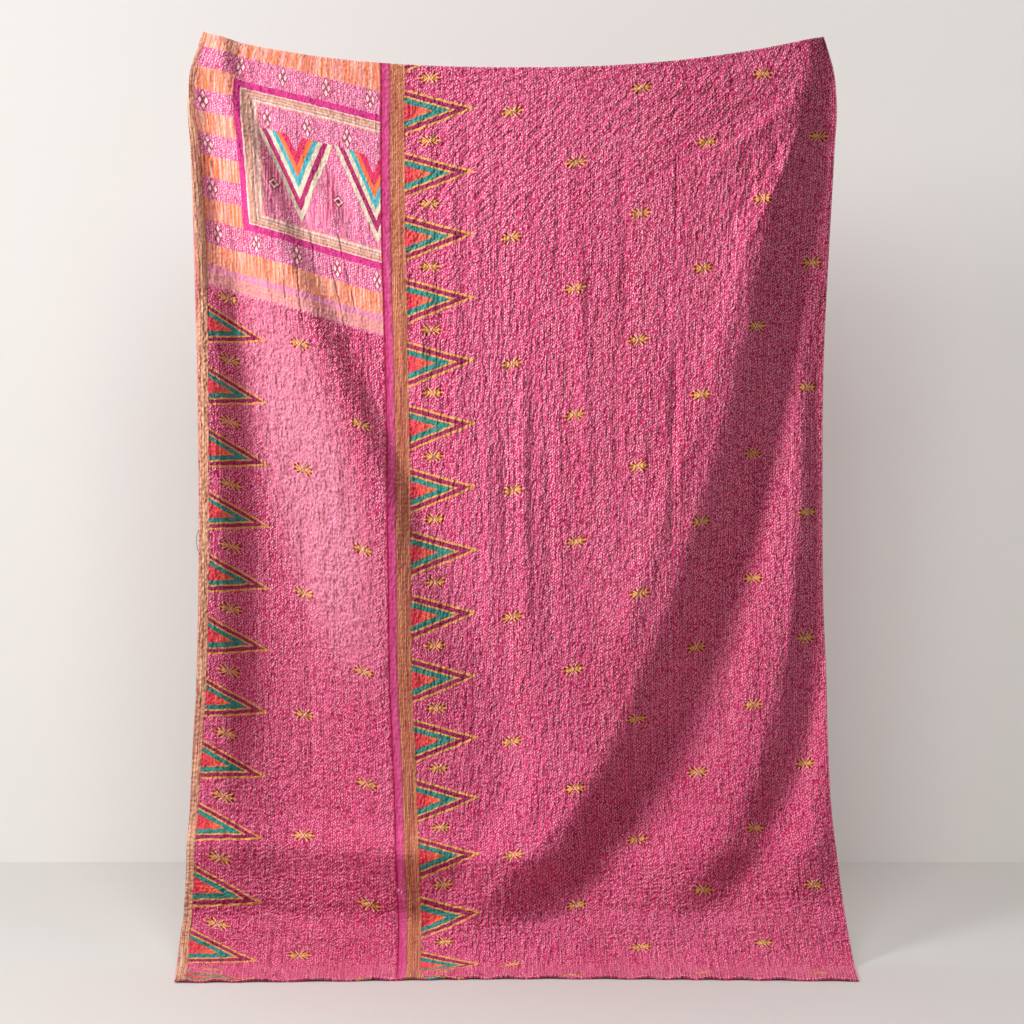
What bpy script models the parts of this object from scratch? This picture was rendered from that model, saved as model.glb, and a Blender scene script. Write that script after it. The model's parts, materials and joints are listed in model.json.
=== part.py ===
"""A kantha quilt, hung face on by its two top corners, with its foot swept forward onto the floor.

Two cotton panels are joined by a lapped seam and quilted together with rows that run down the cloth.
Metres, +Z up. The quilt's front looks along -Y. The origin is the middle of the top edge.
"""

import math

import bmesh
import bpy
import numpy as np

# Driving sizes
THICKNESS = 0.003  # the quilted layers of old cotton
LEFT_PANEL_WIDTH = 0.474
RIGHT_PANEL_WIDTH = 1.026  # without its selvedge, which is turned over the left panel
LAP_WIDTH = 0.022  # the turned selvedge
LAP_THICKNESS = 0.0012
CLEARANCE = 0.0004  # between the two panels, all round
RIB_HEIGHT = 0.0016  # how far the cloth puffs up between rows of quilting
RIB_PITCH = 0.016
BACK_RIBS = 4  # one smooth strip on the back for so many ribs on the front

# The fall line: how far the cloth leans forward from the vertical, by its run down from the top edge
LEAN_RUN = (0.0, 1.420, 1.560, 1.700, 1.840, 1.960, 2.040, 2.075, 2.195)
LEAN_DEGREES = (0.0, 0.0, 8.0, 14.0, 22.0, 33.0, 52.0, 90.0, 90.0)
FLOOR_RUN = LEAN_RUN[-2]  # the cloth lies on the floor from here to the hem
HEM_RUN = LEAN_RUN[-1]

# Where the two outer edges and the lap's free edge hang: run down from the top edge, then X of each
EDGE_LINES = (
    # run, left edge, lap, right edge
    (-0.090, -0.706, -0.301, 0.708),
    (-0.040, -0.722, -0.301, 0.726),
    (0.000, -0.735, -0.301, 0.738),
    (0.070, -0.742, -0.301, 0.746),
    (0.190, -0.735, -0.301, 0.742),
    (0.420, -0.727, -0.298, 0.731),
    (0.650, -0.721, -0.292, 0.720),
    (0.950, -0.716, -0.287, 0.717),
    (1.200, -0.717, -0.283, 0.718),
    (1.420, -0.722, -0.280, 0.724),
    (1.560, -0.729, -0.273, 0.725),
    (1.700, -0.732, -0.266, 0.728),
    (1.840, -0.733, -0.259, 0.738),
    (1.960, -0.734, -0.254, 0.744),
    (2.055, -0.731, -0.251, 0.747),
    (2.195, -0.712, -0.246, 0.732),
)

# The top edge sags between the two held corners
SAG_LOWEST_X = 0.05
CORNER_RISE_LEFT, SAG_POWER_LEFT = 0.084, 2.6
CORNER_RISE_RIGHT, SAG_POWER_RIGHT = 0.073, 2.1
RISE_FADE = 1.5  # how soon the sag dies out down the cloth

# The hem's run past or short of the even line, by X
HEM_X = (-0.75, -0.45, 0.0, 0.40, 0.75)
HEM_SHIFT = (0.004, -0.008, -0.030, -0.022, -0.008)

# The large folds. Each row is a crest or a valley: its X at each level, then how far it stands
# forward (or back) there.
LEVELS = (0.0, 0.30, 0.65, 1.00, 1.35, 1.65, 1.85, 1.97)  # run down from the top edge
FOLDS = (
    ("left margin",
     (-0.80, -0.78, -0.77, -0.77, -0.78, -0.80, -0.80, -0.80),
     (0.000, -0.006, -0.008, -0.008, -0.010, -0.014, -0.012, 0.0)),
    ("left edge roll",
     (-0.740, -0.726, -0.706, -0.694, -0.698, -0.674, -0.620, -0.567),
     (0.002, 0.006, 0.011, 0.012, 0.012, 0.012, 0.008, 0.002)),
    ("left valley",
     (-0.712, -0.678, -0.626, -0.589, -0.580, -0.536, -0.483, -0.445),
     (0.000, -0.013, -0.026, -0.032, -0.034, -0.028, -0.014, 0.0)),
    ("left swag crest",
     (-0.662, -0.571, -0.427, -0.290, -0.256, -0.243, -0.228, -0.214),
     (0.010, 0.020, 0.024, 0.026, 0.028, 0.030, 0.028, 0.005)),
    ("left swag valley",
     (-0.621, -0.507, -0.358, -0.210, -0.073, -0.027, -0.128, -0.190),
     (-0.002, -0.002, -0.002, -0.004, 0.006, 0.020, 0.026, 0.005)),
    ("belly",
     (-0.484, -0.347, -0.187, -0.027, 0.064, 0.075, -0.049, -0.160),
     (0.008, 0.012, 0.017, 0.024, 0.032, 0.042, 0.042, 0.006)),
    ("right swag crest",
     (0.669, 0.587, 0.505, 0.411, 0.292, 0.154, 0.000, -0.137),
     (0.012, 0.030, 0.038, 0.042, 0.046, 0.050, 0.050, 0.008)),
    ("right swag valley",
     (0.744, 0.703, 0.646, 0.571, 0.459, 0.325, 0.186, 0.018),
     (-0.014, -0.034, -0.040, -0.042, -0.038, -0.030, -0.018, 0.0)),
    ("second crest",
     (0.772, 0.726, 0.671, 0.655, 0.610, 0.522, 0.412, 0.282),
     (-0.010, -0.031, -0.030, -0.014, 0.002, 0.010, 0.012, 0.004)),
    ("second valley",
     (0.806, 0.772, 0.717, 0.715, 0.701, 0.645, 0.528, 0.428),
     (-0.010, -0.034, -0.038, -0.038, -0.036, -0.032, -0.018, 0.0)),
    ("third crest",
     (0.850, 0.810, 0.772, 0.772, 0.749, 0.704, 0.645, 0.580),
     (-0.010, -0.034, -0.036, -0.034, -0.026, -0.012, 0.006, 0.004)),
    ("right margin",
     (0.900, 0.870, 0.840, 0.840, 0.817, 0.790, 0.756, 0.745),
     (-0.010, -0.034, -0.034, -0.028, -0.026, -0.026, -0.014, 0.0)),
)

# Single creases: X and run of the upper end, X and run of the lower end, half width, height
CREASES = (
    (-0.062, 0.66, -0.048, 1.45, 0.011, 0.0040),
    (-0.020, 0.72, -0.004, 1.52, 0.010, -0.0035),
    (0.024, 0.62, 0.036, 1.40, 0.012, 0.0045),
    (0.078, 0.75, 0.090, 1.38, 0.012, -0.0035),
    (0.150, 0.30, 0.176, 1.05, 0.014, 0.0035),
    (0.372, 0.58, 0.360, 1.14, 0.010, -0.0045),
    (-0.140, 0.20, -0.120, 0.85, 0.013, 0.0030),
    (0.250, 0.15, 0.262, 0.70, 0.013, -0.0030),
    (-0.480, 1.00, -0.452, 1.75, 0.014, -0.0035),
    (-0.571, 0.06, -0.370, 0.42, 0.022, 0.0070),
    (-0.585, 0.12, -0.443, 0.40, 0.016, -0.0060),
    (-0.450, 0.13, -0.345, 0.42, 0.018, -0.0045),
    (0.690, -0.01, 0.290, 0.075, 0.012, 0.0030),
    (0.680, 0.02, 0.340, 0.190, 0.012, -0.0030),
    (0.672, 0.05, 0.406, 0.300, 0.013, 0.0035),
    (0.660, 0.10, 0.464, 0.420, 0.013, -0.0030),
)

CREASE_END = 0.25  # the share of a crease over which each of its ends dies out
SETTLE_RUN = 0.10  # the folds die out over this run above the floor

SEAM_AT = LEFT_PANEL_WIDTH  # across the cloth, from the left edge
LAP_AT = SEAM_AT - LAP_WIDTH
CLOTH_WIDTH = LEFT_PANEL_WIDTH + RIGHT_PANEL_WIDTH
FLOOR_SHARE = FLOOR_RUN / HEM_RUN

# Rows of the loft: share of the way down, and the steps up to it
ROW_STATIONS = ((0.02, 1), (0.62, 15), (FLOOR_SHARE, 17), (1.0, 2))
FALL_STEPS = 1200  # in which the fall line's lean is summed up
PROBE = 0.002  # how far to each side the cloth's slope is felt


CLOTH_PINK = (0.52, 0.075, 0.22, 1.0)
CLOTH_ROSE = (0.56, 0.095, 0.25, 1.0)


def smooth(levels, values, at):
    """A smooth curve through a table's values: cubic pieces with averaged slopes."""
    levels, values = np.asarray(levels, float), np.asarray(values, float)
    slopes = np.gradient(values, levels)
    at = np.clip(at, levels[0], levels[-1])
    i = np.clip(np.searchsorted(levels, at, side="right") - 1, 0, len(levels) - 2)
    step = levels[i + 1] - levels[i]
    t = (at - levels[i]) / step
    return (
        values[i] * (1 + 2 * t) * (1 - t) ** 2
        + values[i + 1] * t * t * (3 - 2 * t)
        + step * (slopes[i] * t * (1 - t) ** 2 - slopes[i + 1] * t * t * (1 - t))
    )


def ease(t):
    """0 to 1 with level ends."""
    t = np.clip(t, 0.0, 1.0)
    return t * t * (3 - 2 * t)


def fall_line(run):
    """Forward reach, height over the floor and lean of the cloth's back, at a run down the cloth."""
    steps = np.linspace(0.0, HEM_RUN + max(HEM_SHIFT) + PROBE, FALL_STEPS)
    lean = np.radians(np.interp(steps, LEAN_RUN, LEAN_DEGREES))
    middle, length = (lean[1:] + lean[:-1]) / 2, np.diff(steps)
    forward = np.concatenate(([0.0], np.cumsum(np.sin(middle) * length)))
    drop = np.concatenate(([0.0], np.cumsum(np.cos(middle) * length)))
    height = drop[-1] - np.interp(run, steps, drop) - np.minimum(run, 0.0)
    return (
        np.interp(run, steps, forward),
        height + THICKNESS,
        np.interp(run, steps, lean),
    )


def fold_depth(x, run):
    """How far the cloth stands in front of its fall line."""
    lines = [smooth(LEVELS, across, run) for _, across, _ in FOLDS]
    depths = [smooth(LEVELS, depth, run) for _, _, depth in FOLDS]
    depth = depths[0] + 0 * x
    for i in range(len(FOLDS) - 1):
        share = ease((x - lines[i]) / (lines[i + 1] - lines[i]))
        depth = np.where(x > lines[i], depths[i] + (depths[i + 1] - depths[i]) * share, depth)
    for top_x, top_run, foot_x, foot_run, half_width, rise in CREASES:
        aside, down = foot_x - top_x, foot_run - top_run
        length = math.hypot(aside, down)
        along = ((x - top_x) * aside + (run - top_run) * down) / length**2
        off = ((x - top_x) * down - (run - top_run) * aside) / length
        fade = ease(np.minimum(along, 1 - along) / CREASE_END)
        depth = depth + rise * fade * np.exp(-((off / half_width) ** 2))
    return depth * ease((FLOOR_RUN - run) / SETTLE_RUN)


def across_to_x(across, run):
    """X of a place across the cloth, measured from its left edge."""
    runs, left, lap, right = np.array(EDGE_LINES).T
    left, lap, right = (smooth(runs, line, run) for line in (left, lap, right))
    return np.where(
        across < LAP_AT,
        left + (lap - left) * across / LAP_AT,
        lap + (right - lap) * (across - LAP_AT) / (CLOTH_WIDTH - LAP_AT),
    )


def run_down(across, share):
    """The run at a share of the way from the top edge to the hem, with the top edge's sag."""
    x = across_to_x(across, 0.0 * across) - SAG_LOWEST_X
    half_left, half_right = across_to_x(np.array([0.0, CLOTH_WIDTH]), 0.0) - SAG_LOWEST_X
    rise = np.where(
        x < 0,
        CORNER_RISE_LEFT * np.abs(x / half_left) ** SAG_POWER_LEFT,
        CORNER_RISE_RIGHT * np.abs(x / half_right) ** SAG_POWER_RIGHT,
    )
    fade = np.clip(1 - share / FLOOR_SHARE, 0.0, 1.0) ** RISE_FADE
    on_floor = np.clip((share - FLOOR_SHARE) / (1 - FLOOR_SHARE), 0.0, 1.0)
    shift = smooth(HEM_X, HEM_SHIFT, x + SAG_LOWEST_X) * on_floor
    return share * HEM_RUN - rise * fade + shift


def surface(across, share):
    """A point of the quilt's plain front face, before the ribs."""
    run = run_down(across, share)
    x = across_to_x(across, run)
    forward, height, lean = fall_line(run)
    depth = fold_depth(x, run)
    y = -forward - depth * np.cos(lean)
    z = height + depth * np.sin(lean)
    return np.stack([x, y, z], axis=-1)


def cloth_points(section, shares):
    """A grid of points: a row of the section, lifted square off the cloth, at each share."""
    across = np.array([place for place, _ in section])[None, :] + np.zeros((len(shares), 1))
    lift = np.array([lift for _, lift in section])[None, :, None]
    share = np.array(shares)[:, None] + np.zeros((1, len(section)))
    sideways = surface(across + PROBE, share) - surface(across - PROBE, share)
    upward = surface(across, share - PROBE / HEM_RUN) - surface(across, share + PROBE / HEM_RUN)
    normal = np.cross(sideways, upward)
    normal /= np.linalg.norm(normal, axis=-1, keepdims=True)
    return surface(across, share) + normal * lift


def row_shares():
    """Shares of the way down at which the loft has a row."""
    shares, last = [0.0], 0.0
    for station, steps in ROW_STATIONS:
        shares += [last + (station - last) * (i + 1) / steps for i in range(steps)]
        last = station
    return shares


def ribbed(start, end):
    """Front section: places across the cloth from start to end, puffed between quilting rows."""
    ribs = BACK_RIBS * round((end - start) / (RIB_PITCH * BACK_RIBS))
    places = np.linspace(start, end, 2 * ribs + 1)
    return [(place, RIB_HEIGHT * (i % 2)) for i, place in enumerate(places)]


def smooth_back(front):
    """Back section under a ribbed front, with the front point that each back point is tied to."""
    stride = 2 * BACK_RIBS
    ties = range(0, len(front), stride)
    return [((front[tie][0], -THICKNESS), tie) for tie in ties]


def split_along_fold(bm, corners):
    """Two triangles, split the way the folds run: down and inwards from both held corners."""
    a, b, c, d = corners
    if a.co.x < SAG_LOWEST_X:
        halves = ((a, d, c), (a, c, b))
    else:
        halves = ((a, d, b), (b, d, c))
    for half in halves:
        bm.faces.new(half)


def loft(name, front, back, colour):
    """A closed sheet from a front section and a tied, coarser back section."""
    shares = row_shares()
    back_section, ties = [point for point, _ in back], [tie for _, tie in back]
    bm = bmesh.new()
    grids = []
    for section in (front, back_section):
        points = cloth_points(section, shares)
        grids.append([[bm.verts.new(p) for p in row] for row in points])
    face, rear = grids
    for i in range(len(shares) - 1):
        for grid in grids:
            for j in range(len(grid[i]) - 1):
                corners = grid[i][j], grid[i][j + 1], grid[i + 1][j + 1], grid[i + 1][j]
                split_along_fold(bm, corners)
        for side in (0, -1):
            bm.faces.new((face[i][side], face[i + 1][side], rear[i + 1][side], rear[i][side]))
    for end in (0, -1):
        for j in range(len(ties) - 1):
            rim = [face[end][k] for k in range(ties[j], ties[j + 1] + 1)]
            bm.faces.new(rim + [rear[end][j + 1], rear[end][j]])
    bmesh.ops.recalc_face_normals(bm, faces=bm.faces)
    mesh = bpy.data.meshes.new(name)
    bm.to_mesh(mesh)
    bm.free()
    mesh.shade_smooth()
    mesh.set_sharp_from_angle(angle=math.radians(50))
    panel = bpy.data.objects.new(name, mesh)
    panel.data.materials.append(cloth_material(name, colour))
    return panel


def cloth_material(name, colour):
    """Soft, rough cotton."""
    material = bpy.data.materials.new(name)
    material.use_nodes = True
    shader = material.node_tree.nodes["Principled BSDF"]
    shader.inputs["Base Color"].default_value = colour
    shader.inputs["Roughness"].default_value = 0.9
    shader.inputs["Metallic"].default_value = 0.0
    return material


def left_panel():
    """The narrow panel: ribbed up to the lap, then flat under it."""
    front = ribbed(0.0, LAP_AT)
    back = smooth_back(front)
    end = SEAM_AT - CLEARANCE
    front.append((end, 0.0))
    back.append(((end, -THICKNESS), len(front) - 1))
    return loft("left_panel", front, back, CLOTH_ROSE)


def right_panel():
    """The wide panel, whose thin selvedge is turned over the left panel."""
    top = CLEARANCE + LAP_THICKNESS
    selvedge = [(LAP_AT, top), (SEAM_AT, top)]
    body = ribbed(SEAM_AT + RIB_PITCH / 2, CLOTH_WIDTH)
    under_lap = [
        ((LAP_AT, CLEARANCE), 0),
        ((SEAM_AT, CLEARANCE), 1),
        ((SEAM_AT, -THICKNESS), 1),
    ]
    body_back = [(point, tie + len(selvedge)) for point, tie in smooth_back(body)]
    return loft("right_panel", selvedge + body, under_lap + body_back, CLOTH_PINK)


def top_edge_middle():
    """The middle of the cloth's thickness, at X = 0 on the top edge."""
    places = np.linspace(SEAM_AT, CLOTH_WIDTH, 4001)
    points = surface(places, np.zeros(places.shape))
    nearest = points[np.argmin(np.abs(points[:, 0]))]
    return nearest + (0.0, THICKNESS / 2, -THICKNESS / 2)


def main():
    for old in list(bpy.data.objects):
        bpy.data.objects.remove(old, do_unlink=True)
    quilt = bpy.data.collections.new("kantha_quilt")
    bpy.context.scene.collection.children.link(quilt)
    origin = top_edge_middle()
    for panel in (left_panel(), right_panel()):
        quilt.objects.link(panel)
        panel.location = [-value for value in origin]


main()
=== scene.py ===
"""A kantha quilt of two lapped sari panels, hung face on by its two top corners.

Run as a script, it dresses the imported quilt: both quilted sheets with their woven patterns, the rows of
running stitches, the stitches along the hems, a loose thread, and a plain stage with lights and camera.
"""

import json
import math
from functools import partialmethod

import bmesh
import bpy
import numpy as np
from bpy.props import FloatProperty, FloatVectorProperty, IntProperty, PointerProperty
from bpy.types import Operator, Panel, PropertyGroup
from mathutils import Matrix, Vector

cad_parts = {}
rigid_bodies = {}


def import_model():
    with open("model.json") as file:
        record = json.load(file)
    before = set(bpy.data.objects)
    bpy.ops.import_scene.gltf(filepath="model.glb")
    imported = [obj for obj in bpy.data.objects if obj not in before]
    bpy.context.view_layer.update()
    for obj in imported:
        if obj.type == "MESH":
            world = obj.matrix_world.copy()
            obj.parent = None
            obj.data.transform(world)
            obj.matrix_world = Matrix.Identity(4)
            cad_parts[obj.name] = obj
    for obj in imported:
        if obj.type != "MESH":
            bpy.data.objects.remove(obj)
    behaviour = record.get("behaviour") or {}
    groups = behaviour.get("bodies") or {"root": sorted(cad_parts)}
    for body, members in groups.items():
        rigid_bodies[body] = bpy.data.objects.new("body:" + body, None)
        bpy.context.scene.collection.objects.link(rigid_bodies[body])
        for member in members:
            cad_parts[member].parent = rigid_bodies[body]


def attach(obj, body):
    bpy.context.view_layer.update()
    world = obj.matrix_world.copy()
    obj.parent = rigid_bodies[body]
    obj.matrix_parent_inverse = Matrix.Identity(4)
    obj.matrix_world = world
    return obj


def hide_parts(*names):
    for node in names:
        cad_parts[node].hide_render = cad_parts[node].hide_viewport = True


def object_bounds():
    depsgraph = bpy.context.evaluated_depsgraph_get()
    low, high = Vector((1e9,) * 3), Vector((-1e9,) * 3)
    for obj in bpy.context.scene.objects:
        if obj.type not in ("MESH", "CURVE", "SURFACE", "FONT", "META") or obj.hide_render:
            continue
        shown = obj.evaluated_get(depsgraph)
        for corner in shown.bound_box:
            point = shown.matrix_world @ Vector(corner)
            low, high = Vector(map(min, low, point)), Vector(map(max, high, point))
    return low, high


bl_info = {
    "name": "Kantha Quilt",
    "version": (1, 0, 0),
    "blender": (4, 5, 0),
    "location": "3D View > Sidebar > Kantha",
    "description": "Two quilted sari panels with running stitches, hung by their top corners",
    "category": "Object",
}

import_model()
CAD_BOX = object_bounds()

# The cloth's sizes, as in the CAD model
THICKNESS = 0.003
SEAM_AT = 0.474
LAP_WIDTH = 0.022
LAP_AT = SEAM_AT - LAP_WIDTH
LAP_THICKNESS = 0.0012
CLEARANCE = 0.0004
CLOTH_WIDTH = 1.50
ORIGIN = (2.50353e-05, -0.00802290, 2.00769639)  # the CAD model's origin, in the lofting frame below

LEAN_RUN = (0.0, 1.420, 1.560, 1.700, 1.840, 1.960, 2.040, 2.075, 2.195)
LEAN_DEGREES = (0.0, 0.0, 8.0, 14.0, 22.0, 33.0, 52.0, 90.0, 90.0)
FLOOR_RUN = LEAN_RUN[-2]
HEM_RUN = LEAN_RUN[-1]
FLOOR_SHARE = FLOOR_RUN / HEM_RUN
FALL_STEPS = 1200
PROBE = 0.002

EDGE_LINES = (
    # run, left edge, lap, right edge
    (-0.090, -0.706, -0.301, 0.708),
    (-0.040, -0.722, -0.301, 0.726),
    (0.000, -0.735, -0.301, 0.738),
    (0.070, -0.742, -0.301, 0.746),
    (0.190, -0.735, -0.301, 0.742),
    (0.420, -0.727, -0.298, 0.731),
    (0.650, -0.721, -0.292, 0.720),
    (0.950, -0.716, -0.287, 0.717),
    (1.200, -0.717, -0.283, 0.718),
    (1.420, -0.722, -0.280, 0.724),
    (1.560, -0.729, -0.273, 0.725),
    (1.700, -0.732, -0.266, 0.728),
    (1.840, -0.733, -0.259, 0.738),
    (1.960, -0.734, -0.254, 0.744),
    (2.055, -0.731, -0.251, 0.747),
    (2.195, -0.712, -0.246, 0.732),
)
SAG_LOWEST_X = 0.05
CORNER_RISE_LEFT, SAG_POWER_LEFT = 0.084, 2.6
CORNER_RISE_RIGHT, SAG_POWER_RIGHT = 0.073, 2.1
RISE_FADE = 1.5
HEM_X = (-0.75, -0.45, 0.0, 0.40, 0.75)
HEM_SHIFT = (0.004, -0.008, -0.030, -0.022, -0.008)
SETTLE_RUN = 0.10
# The puckered hem: how far its lumps stand off the floor, two waves along it, and how far the
# slow one shifts the other
HEM_LIFT = 0.005
HEM_WAVE, HEM_SLOW_WAVE, HEM_DRIFT = 71.0, 11.0, 2.2

# The large folds: X of each crest or valley at each level, then how far it stands forward there
LEVELS = (0.0, 0.30, 0.65, 1.00, 1.35, 1.65, 1.85, 1.97)
FOLDS = (
    ("left margin",
     (-0.80, -0.78, -0.77, -0.77, -0.78, -0.80, -0.80, -0.80),
     (0.000, -0.006, -0.008, -0.008, -0.010, -0.014, -0.012, 0.0)),
    ("left edge roll",
     (-0.740, -0.726, -0.706, -0.694, -0.698, -0.674, -0.620, -0.567),
     (0.002, 0.006, 0.011, 0.012, 0.012, 0.012, 0.008, 0.002)),
    ("left valley",
     (-0.712, -0.678, -0.626, -0.589, -0.580, -0.536, -0.483, -0.445),
     (0.000, -0.013, -0.026, -0.032, -0.034, -0.028, -0.014, 0.0)),
    ("left swag crest",
     (-0.662, -0.571, -0.427, -0.290, -0.256, -0.243, -0.228, -0.214),
     (0.010, 0.020, 0.024, 0.026, 0.028, 0.030, 0.028, 0.005)),
    ("left swag valley",
     (-0.621, -0.507, -0.358, -0.210, -0.073, -0.027, -0.128, -0.190),
     (-0.002, -0.002, -0.002, -0.004, 0.006, 0.020, 0.026, 0.005)),
    ("belly",
     (-0.484, -0.347, -0.187, -0.027, 0.064, 0.075, -0.049, -0.160),
     (0.008, 0.012, 0.017, 0.024, 0.032, 0.042, 0.042, 0.006)),
    ("right swag crest",
     (0.669, 0.587, 0.505, 0.411, 0.292, 0.154, 0.000, -0.137),
     (0.012, 0.030, 0.038, 0.042, 0.046, 0.050, 0.050, 0.008)),
    ("right swag valley",
     (0.744, 0.703, 0.646, 0.571, 0.459, 0.325, 0.186, 0.018),
     (-0.014, -0.034, -0.040, -0.042, -0.038, -0.030, -0.018, 0.0)),
    ("second crest",
     (0.772, 0.726, 0.671, 0.655, 0.610, 0.522, 0.412, 0.282),
     (-0.010, -0.031, -0.030, -0.014, 0.002, 0.010, 0.012, 0.004)),
    ("second valley",
     (0.806, 0.772, 0.717, 0.715, 0.701, 0.645, 0.528, 0.428),
     (-0.010, -0.034, -0.038, -0.038, -0.036, -0.032, -0.018, 0.0)),
    ("third crest",
     (0.850, 0.810, 0.772, 0.772, 0.749, 0.704, 0.645, 0.580),
     (-0.010, -0.034, -0.036, -0.034, -0.026, -0.012, 0.006, 0.004)),
    ("right margin",
     (0.900, 0.870, 0.840, 0.840, 0.817, 0.790, 0.756, 0.745),
     (-0.010, -0.034, -0.034, -0.028, -0.026, -0.026, -0.014, 0.0)),
)

# Single creases, as in the CAD model: X and run of the upper end, X and run of the lower end,
# half width, height
CREASES = (
    (-0.062, 0.66, -0.048, 1.45, 0.011, 0.004), (-0.02, 0.72, -0.004, 1.52, 0.01, -0.0035),
    (0.024, 0.62, 0.036, 1.4, 0.012, 0.0045), (0.078, 0.75, 0.09, 1.38, 0.012, -0.0035),
    (0.15, 0.3, 0.176, 1.05, 0.014, 0.0035), (0.372, 0.58, 0.36, 1.14, 0.01, -0.0045),
    (-0.14, 0.2, -0.12, 0.85, 0.013, 0.003), (0.25, 0.15, 0.262, 0.7, 0.013, -0.003),
    (-0.48, 1.0, -0.452, 1.75, 0.014, -0.0035), (-0.571, 0.06, -0.37, 0.42, 0.022, 0.007),
    (-0.585, 0.12, -0.443, 0.4, 0.016, -0.006), (-0.45, 0.13, -0.345, 0.42, 0.018, -0.0045),
    (0.69, -0.01, 0.29, 0.075, 0.012, 0.003), (0.68, 0.02, 0.34, 0.19, 0.012, -0.003),
    (0.672, 0.05, 0.406, 0.3, 0.013, 0.0035), (0.66, 0.1, 0.464, 0.42, 0.013, -0.003),
)
CREASE_END = 0.25

# Finer wrinkles between them, only in the sheets, with the same columns
WRINKLES = (
    (-0.1, 0.72, -0.094, 1.3, 0.005, 0.0011), (-0.082, 0.78, -0.076, 1.2, 0.004, -0.001),
    (-0.036, 0.8, -0.03, 1.44, 0.005, 0.0013), (0.004, 0.7, 0.01, 1.3, 0.005, -0.0013),
    (0.05, 0.66, 0.058, 1.22, 0.005, -0.0011), (0.104, 0.8, 0.112, 1.34, 0.005, 0.001),
    (0.132, 0.6, 0.14, 1.1, 0.005, -0.0008), (0.206, 0.62, 0.214, 1.18, 0.006, 0.0014),
    (0.238, 0.52, 0.246, 0.96, 0.005, -0.0012), (0.3, 0.7, 0.3, 1.15, 0.006, 0.0013),
    (0.352, 0.64, 0.342, 1.1, 0.005, 0.0016), (0.386, 0.62, 0.378, 1.05, 0.005, 0.0014),
    (-0.172, 0.3, -0.16, 0.8, 0.006, -0.0014), (-0.21, 0.45, -0.2, 1.0, 0.006, 0.0012),
    (-0.09, 0.15, -0.08, 0.62, 0.006, 0.0014), (-0.036, 0.12, -0.024, 0.58, 0.006, -0.0013),
    (0.03, 0.1, 0.04, 0.52, 0.006, 0.0013), (0.096, 0.1, 0.108, 0.5, 0.006, -0.0013),
    (0.166, 0.08, 0.18, 0.46, 0.006, 0.0012), (-0.6, 0.14, -0.5, 0.4, 0.008, 0.0036),
    (-0.56, 0.16, -0.4, 0.5, 0.008, -0.0018), (-0.52, 0.04, -0.33, 0.24, 0.008, -0.0018),
    (-0.5, 0.0, -0.32, 0.12, 0.007, 0.0023), (-0.61, 0.22, -0.54, 0.62, 0.008, 0.0029),
    (-0.56, 0.66, -0.52, 1.1, 0.007, 0.0016), (-0.42, 0.56, -0.372, 1.04, 0.008, -0.0018),
    (-0.35, 0.6, -0.322, 1.3, 0.007, 0.0014), (-0.44, 1.1, -0.404, 1.62, 0.007, 0.0016),
    (-0.66, 0.5, -0.64, 1.1, 0.007, -0.0016), (0.702, 0.02, 0.42, 0.06, 0.0065, -0.0014),
    (0.696, 0.03, 0.36, 0.12, 0.0065, 0.0031), (0.69, 0.05, 0.3, 0.21, 0.0065, -0.0016),
    (0.684, 0.07, 0.38, 0.26, 0.0065, 0.0031), (0.676, 0.1, 0.42, 0.38, 0.0065, -0.0016),
    (0.67, 0.14, 0.5, 0.47, 0.0065, 0.0034), (0.676, 0.2, 0.56, 0.52, 0.0065, -0.0014),
    (0.54, 0.62, 0.47, 0.98, 0.008, 0.0018), (0.6, 0.6, 0.556, 1.0, 0.008, -0.0018),
    (0.5, 1.2, 0.4, 1.52, 0.008, 0.0018), (0.56, 1.26, 0.47, 1.58, 0.008, -0.0018),
    (0.66, 1.1, 0.6, 1.6, 0.008, 0.002), (-0.56, 1.84, -0.3, 1.862, 0.007, 0.0026),
    (-0.42, 1.872, -0.12, 1.89, 0.007, -0.0026), (-0.26, 1.85, -0.06, 1.862, 0.006, 0.0024),
    (-0.36, 1.906, -0.05, 1.918, 0.006, 0.0024), (0.18, 1.85, 0.42, 1.836, 0.007, 0.0024),
    (0.14, 1.884, 0.38, 1.876, 0.007, -0.0024), (0.3, 1.915, 0.56, 1.9, 0.007, 0.0022),
    (-0.68, 1.88, -0.5, 1.896, 0.006, 0.002), (0.7, 0.03, 0.48, 0.2, 0.006, 0.003),
    (0.694, 0.045, 0.52, 0.3, 0.006, 0.0018), (0.69, 0.06, 0.56, 0.36, 0.006, 0.003),
    (0.7, 0.015, 0.34, 0.09, 0.006, 0.0026), (0.64, 0.06, 0.24, 0.3, 0.007, -0.0022),
    (-0.66, 0.02, -0.6, 0.3, 0.007, 0.003), (-0.64, 0.04, -0.56, 0.24, 0.006, -0.0016),
)

# The longest thin creases, too fine for the mesh: place across the cloth and run at the top and at the foot
LEFT_LINES = (
    (0.242, 0.38, 0.264, 0.64),
    (0.280, 0.34, 0.306, 0.64),
    (0.316, 0.38, 0.378, 0.68),
    (0.340, 0.34, 0.392, 0.58),
    (0.215, 0.43, 0.223, 0.60),
)
RIGHT_LINES = (
    (0.742, 0.62, 0.756, 1.48),
    (0.775, 0.76, 0.773, 1.16),
    (0.662, 0.70, 0.690, 1.20),
    (1.142, 0.58, 1.141, 1.16),
    (0.892, 1.04, 0.899, 1.36),
    (1.129, 0.16, 1.137, 0.44),
)

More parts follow.
